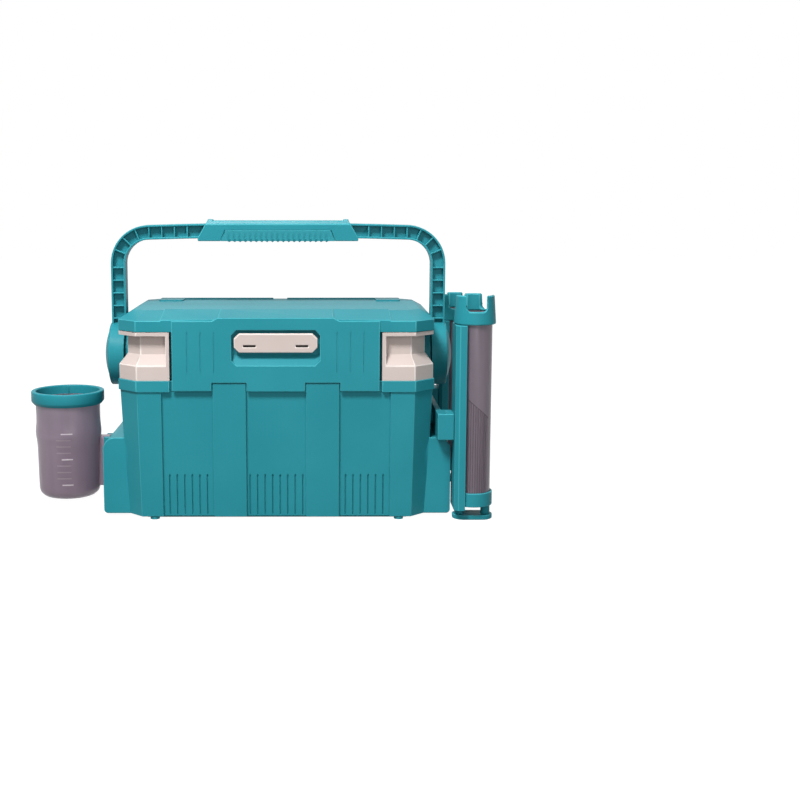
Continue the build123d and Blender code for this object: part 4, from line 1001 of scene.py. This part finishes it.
@dataclass
class BaitCup:
    """Translucent cup with a hanging tongue, graduation lines and a teal ring."""

    shop: Workshop
    wall: float = 2.0 * MM
    top_radius: float = 43.5 * MM
    bottom_radius: float = 41.0 * MM
    foot_radius: float = 12.0 * MM
    foot_steps: int = 9
    side_steps: int = 30
    bulge_height: float = 96.0 * MM
    bulge_reach: float = 11.0 * MM
    bulge_rise: float = 1.6 * MM
    tongue_root: float = 12.0 * MM
    tongue_tip: float = 18.0 * MM
    tongue_depth: float = 6.0 * MM
    tongue_lift: float = 6.4 * MM
    tongue_sink: float = 0.4 * MM
    mark_gap: float = 35.0 * MM
    mark_first: float = 29.5 * MM
    mark_count: int = 3
    mark_splits: int = 4
    mark_width: float = 1.5 * MM
    mark_proud: float = 0.5 * MM
    mark_steps: int = 10
    long_mark: tuple[float, float] = (-3.0, 17.0)
    short_mark: tuple[float, float] = (-12.0, 14.0)
    ring_round: float = 1.6 * MM
    ring_lip: float = 12.0 * MM
    ring_seat_gap: float = 0.2 * MM
    ring_overlap: float = 0.8 * MM
    ring_taper: tuple[float, float] = (3.4 * MM, 4.6 * MM)
    ring_knee: tuple[float, float] = (0.2, 0.7)
    ring_steps: int = 6
    key_angle: float = 102.0
    key_width: float = 5.5
    key_steps: int = 4
    key_proud: float = 1.2 * MM

    def build(self) -> None:
        """Builds every piece of the cup."""
        self.ring_low, self.ring_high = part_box("cup_ring")
        self.low, self.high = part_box("cup")
        self.centre = (self.ring_low + self.ring_high) / 2
        self.centre.z = 0.0
        self.beaker(SMOKE_CUP.material())
        self.marks()
        self.ring()

    def outer_radius(self, height: float) -> float:
        """Gives the cup's outer radius.

        Args:
            height: Height above the ground.

        Returns:
            Radius there, the bulge included.
        """
        share = (height - self.low.z) / (self.high.z - self.low.z)
        swell = self.bulge_rise * math.exp(-(((height - self.bulge_height) / self.bulge_reach) ** 2))
        return self.bottom_radius + (self.top_radius - self.bottom_radius) * share + swell

    def beaker(self, clear: bpy.types.Material) -> None:
        """Builds the beaker and its tongue.

        Args:
            clear: Material of the cup.
        """
        base, top = self.low.z, self.high.z
        knee = base + self.foot_radius
        corner = (self.bottom_radius - self.foot_radius, knee)
        heights = [knee + (top - knee) * step / self.side_steps for step in range(self.side_steps + 1)]
        outside = [(0.0, base)]
        outside += arc(corner, self.foot_radius, -90, 0, self.foot_steps)[:-1]
        outside += [(self.outer_radius(z), z) for z in heights]
        hollow = [(self.outer_radius(z) - self.wall, z) for z in reversed(heights)]
        hollow += arc(corner, self.foot_radius - self.wall, 0, -90, self.foot_steps)[1:]
        hollow += [(0.0, base + self.wall)]
        bm = turned(outside + hollow, self.centre, UP, FRONT)
        self.tongue(bm)
        self.shop.shade(bm)
        self.shop.seat("cup_beaker", bm, "cup", [clear])

    def tongue(self, bm: bmesh.types.BMesh) -> None:
        """Adds the dovetail tongue that hangs the cup on its bracket.

        Args:
            bm: Mesh of the cup.
        """
        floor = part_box("cup_bracket")[0].z + self.tongue_lift
        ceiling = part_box("cup_bracket")[1].z
        wide = self.high.x
        face = wide - self.tongue_depth
        start = self.centre.x + self.bottom_radius - self.tongue_sink
        y = self.centre.y
        outline = [
            (start, -self.tongue_root / 2),
            (face, -self.tongue_root / 2),
            (wide, -self.tongue_tip / 2),
            (wide, self.tongue_tip / 2),
            (face, self.tongue_root / 2),
            (start, self.tongue_root / 2),
        ]
        verts = [bm.verts.new((x, y + across, floor)) for x, across in outline]
        foot = bm.faces.new(verts)
        made = bmesh.ops.extrude_face_region(bm, geom=[foot], use_keep_orig=True)["geom"]
        raised = [g for g in made if isinstance(g, bmesh.types.BMVert)]
        bmesh.ops.translate(bm, verts=raised, vec=UP * (ceiling - floor))
        around = {f for v in verts + raised for f in v.link_faces}
        bmesh.ops.recalc_face_normals(bm, faces=list(around))

    def marks(self) -> None:
        """Builds the graduation lines on the front of the cup, bright long ones and faint short ones."""
        bright, faint = bmesh.new(), bmesh.new()
        for step in range((self.mark_count - 1) * self.mark_splits + 1):
            major = step % self.mark_splits == 0
            height = self.mark_first + self.mark_gap * step / self.mark_splits
            first, last = self.long_mark if major else self.short_mark

            def place(along: float, up: float) -> Vector:
                """Gives a point of the line."""
                turn = math.radians(first + (last - first) * along - 90)
                z = height + self.mark_width * (up - 0.5)
                reach = self.outer_radius(z) + self.mark_proud / 2
                return self.centre + Vector((reach * math.cos(turn), reach * math.sin(turn), z))

            wrapped_strip(bright if major else faint, place, self.mark_steps, self.mark_proud)
        for name, bm, finish in (("bright", bright, SMOKE_MARK), ("faint", faint, SMOKE_FAINT)):
            self.shop.shade(bm)
            self.shop.seat(f"cup_marks_{name}", bm, "cup", [finish.material()], replaces=False)

    def ring(self) -> None:
        """Builds the teal ring round the cup's mouth, drawn in at its foot, with a key inside."""
        outer = (self.ring_high.x - self.ring_low.x) / 2
        base, top = self.ring_low.z, self.ring_high.z
        seat = self.top_radius + self.ring_seat_gap
        inner = self.top_radius - self.ring_overlap
        round_ = self.ring_round
        taper, rise = self.ring_taper
        knee_in, knee_up = self.ring_knee
        profile = [
            (seat, base),
            (outer - taper, base),
            (outer - knee_in * taper, base + knee_up * rise),
            (outer, base + rise),
            *arc((outer - round_, top - round_), round_, 0, 90, self.ring_steps),
            *arc((inner + round_, top - round_), round_, 90, 180, self.ring_steps),
            (inner, top - self.ring_lip),
            (seat, top - self.ring_lip),
        ]
        bm = turned(profile, self.centre, UP, FRONT)

        def key(along: float, up: float) -> Vector:
            """Gives a point of the key."""
            turn = math.radians(self.key_angle + self.key_width * (along - 0.5))
            height = top - self.ring_lip + (self.ring_lip - round_) * up
            reach = inner - self.key_proud / 2
            return self.centre + Vector((reach * math.cos(turn), reach * math.sin(turn), height))

        wrapped_strip(bm, key, self.key_steps, self.key_proud)
        self.shop.shade(bm)
        self.shop.seat("cup_ring_round", bm, "cup_ring")


@dataclass(frozen=True)
class Softbox:
    """Rectangular soft light that faces a point, with its power in watts."""

    name: str
    place: Place
    target: Place
    size: tuple[float, float]
    power: float

    def hang(self) -> None:
        """Adds the light to the scene."""
        data = bpy.data.lights.new(self.name, "AREA")
        data.shape = "RECTANGLE"
        data.size, data.size_y = self.size
        data.energy = self.power
        lamp = bpy.data.objects.new(self.name, data)
        lamp.location = self.place
        aim = Vector(self.target) - Vector(self.place)
        lamp.rotation_euler = aim.to_track_quat("-Z", "Y").to_euler()
        bpy.context.scene.collection.objects.link(lamp)


@dataclass
class Studio:
    """Pale floor, soft light and the camera."""

    floor_size: float = 12.0
    camera_place: Place = (0.0503, -1.7159, 0.4238)
    yaw: float = -0.208
    pitch: float = 7.683
    lens: float = 56.94
    shift: tuple[float, float] = (0.10, -0.05)
    sky_light: float = 0.2
    floor_shade: float = 0.18
    floor_glow: float = 0.98
    lights: tuple[Softbox, ...] = (
        Softbox("key_softbox", (-0.6, -1.5, 2.1), (0.0, -0.05, 0.2), (0.6, 0.6), 74.0),
        Softbox("fill_softbox", (0.5, -2.7, 0.8), (0.0, 0.0, 0.15), (1.6, 1.6), 22.0),
        Softbox("top_softbox", (-0.3, -0.2, 2.2), (0.0, 0.0, 0.25), (0.9, 0.9), 11.0),
    )

    def build(self) -> None:
        """Sets up the floor, the light, the world and the camera."""
        bpy.context.scene.view_settings.view_transform = "Standard"
        self.floor()
        for light in self.lights:
            light.hang()
        self.world()
        self.camera()

    def floor(self) -> None:
        """Builds the pale floor, which the camera sees as white."""
        bm = bmesh.new()
        bmesh.ops.create_grid(bm, x_segments=1, y_segments=1, size=self.floor_size / 2)
        mesh = bpy.data.meshes.new("studio_floor")
        bm.to_mesh(mesh)
        bm.free()
        floor = bpy.data.objects.new("studio_floor", mesh)
        bpy.context.scene.collection.objects.link(floor)
        sheet = NodeSheet("studio_floor")
        seen = self.seen_directly(sheet.tree)
        sheet.shader.inputs["Base Color"].default_value = (*[self.floor_shade] * 3, 1.0)
        sheet.shader.inputs["Emission Color"].default_value = (1.0, 1.0, 1.0, 1.0)
        sheet.set(Roughness=1.0, Specular_IOR_Level=0.0)
        glow = sheet.tree.nodes.new("ShaderNodeMath")
        glow.operation = "MULTIPLY"
        glow.inputs[1].default_value = self.floor_glow
        sheet.link(seen, glow.inputs[0])
        sheet.link(glow.outputs["Value"], sheet.shader.inputs["Emission Strength"])
        mesh.materials.append(sheet.material)

    def seen_directly(self, tree: bpy.types.NodeTree) -> bpy.types.NodeSocket:
        """Tells camera, glossy and transmission rays from the light's own.

        Args:
            tree: Node tree that takes the nodes.

        Returns:
            Output that is 1 for those rays.
        """
        path = tree.nodes.new("ShaderNodeLightPath")
        total = path.outputs["Is Camera Ray"]
        for ray in ("Is Glossy Ray", "Is Transmission Ray"):
            either = tree.nodes.new("ShaderNodeMath")
            either.operation = "MAXIMUM"
            tree.links.new(total, either.inputs[0])
            tree.links.new(path.outputs[ray], either.inputs[1])
            total = either.outputs["Value"]
        return total

    def world(self) -> None:
        """Sets an even sky that the camera sees as white."""
        world = bpy.data.worlds.new("studio_world")
        world.use_nodes = True
        tree = world.node_tree
        sky = tree.nodes["Background"]
        sky.inputs["Color"].default_value = (1.0, 1.0, 1.0, 1.0)
        sky.inputs["Strength"].default_value = self.sky_light
        white = tree.nodes.new("ShaderNodeBackground")
        white.inputs["Strength"].default_value = 1.0
        white.inputs["Color"].default_value = (1.0, 1.0, 1.0, 1.0)
        choose = tree.nodes.new("ShaderNodeMixShader")
        tree.links.new(self.seen_directly(tree), choose.inputs["Fac"])
        tree.links.new(sky.outputs["Background"], choose.inputs[1])
        tree.links.new(white.outputs["Background"], choose.inputs[2])
        tree.links.new(choose.outputs["Shader"], tree.nodes["World Output"].inputs["Surface"])
        bpy.context.scene.world = world

    def camera(self) -> None:
        """Places the camera at the photograph's viewing angle."""
        data = bpy.data.cameras.new("photo_camera")
        data.lens = self.lens
        data.shift_x, data.shift_y = self.shift
        data.dof.use_dof = False
        camera = bpy.data.objects.new("photo_camera", data)
        camera.location = self.camera_place
        camera.rotation_euler = (math.radians(90 - self.pitch), 0.0, math.radians(self.yaw))
        bpy.context.scene.collection.objects.link(camera)
        bpy.context.scene.camera = camera


def main() -> None:
    """Builds the sub-assemblies and the studio in order."""
    logging.basicConfig(level=logging.INFO)
    shop = Workshop()
    BoxBody(shop).build()
    LidAndLatch(shop).build()
    Handle(shop).build()
    for end in ("front", "rear"):
        RodHolder(shop, end).build()
    BaitCup(shop).build()
    Studio().build()


if __name__ == "__main__":
    main()
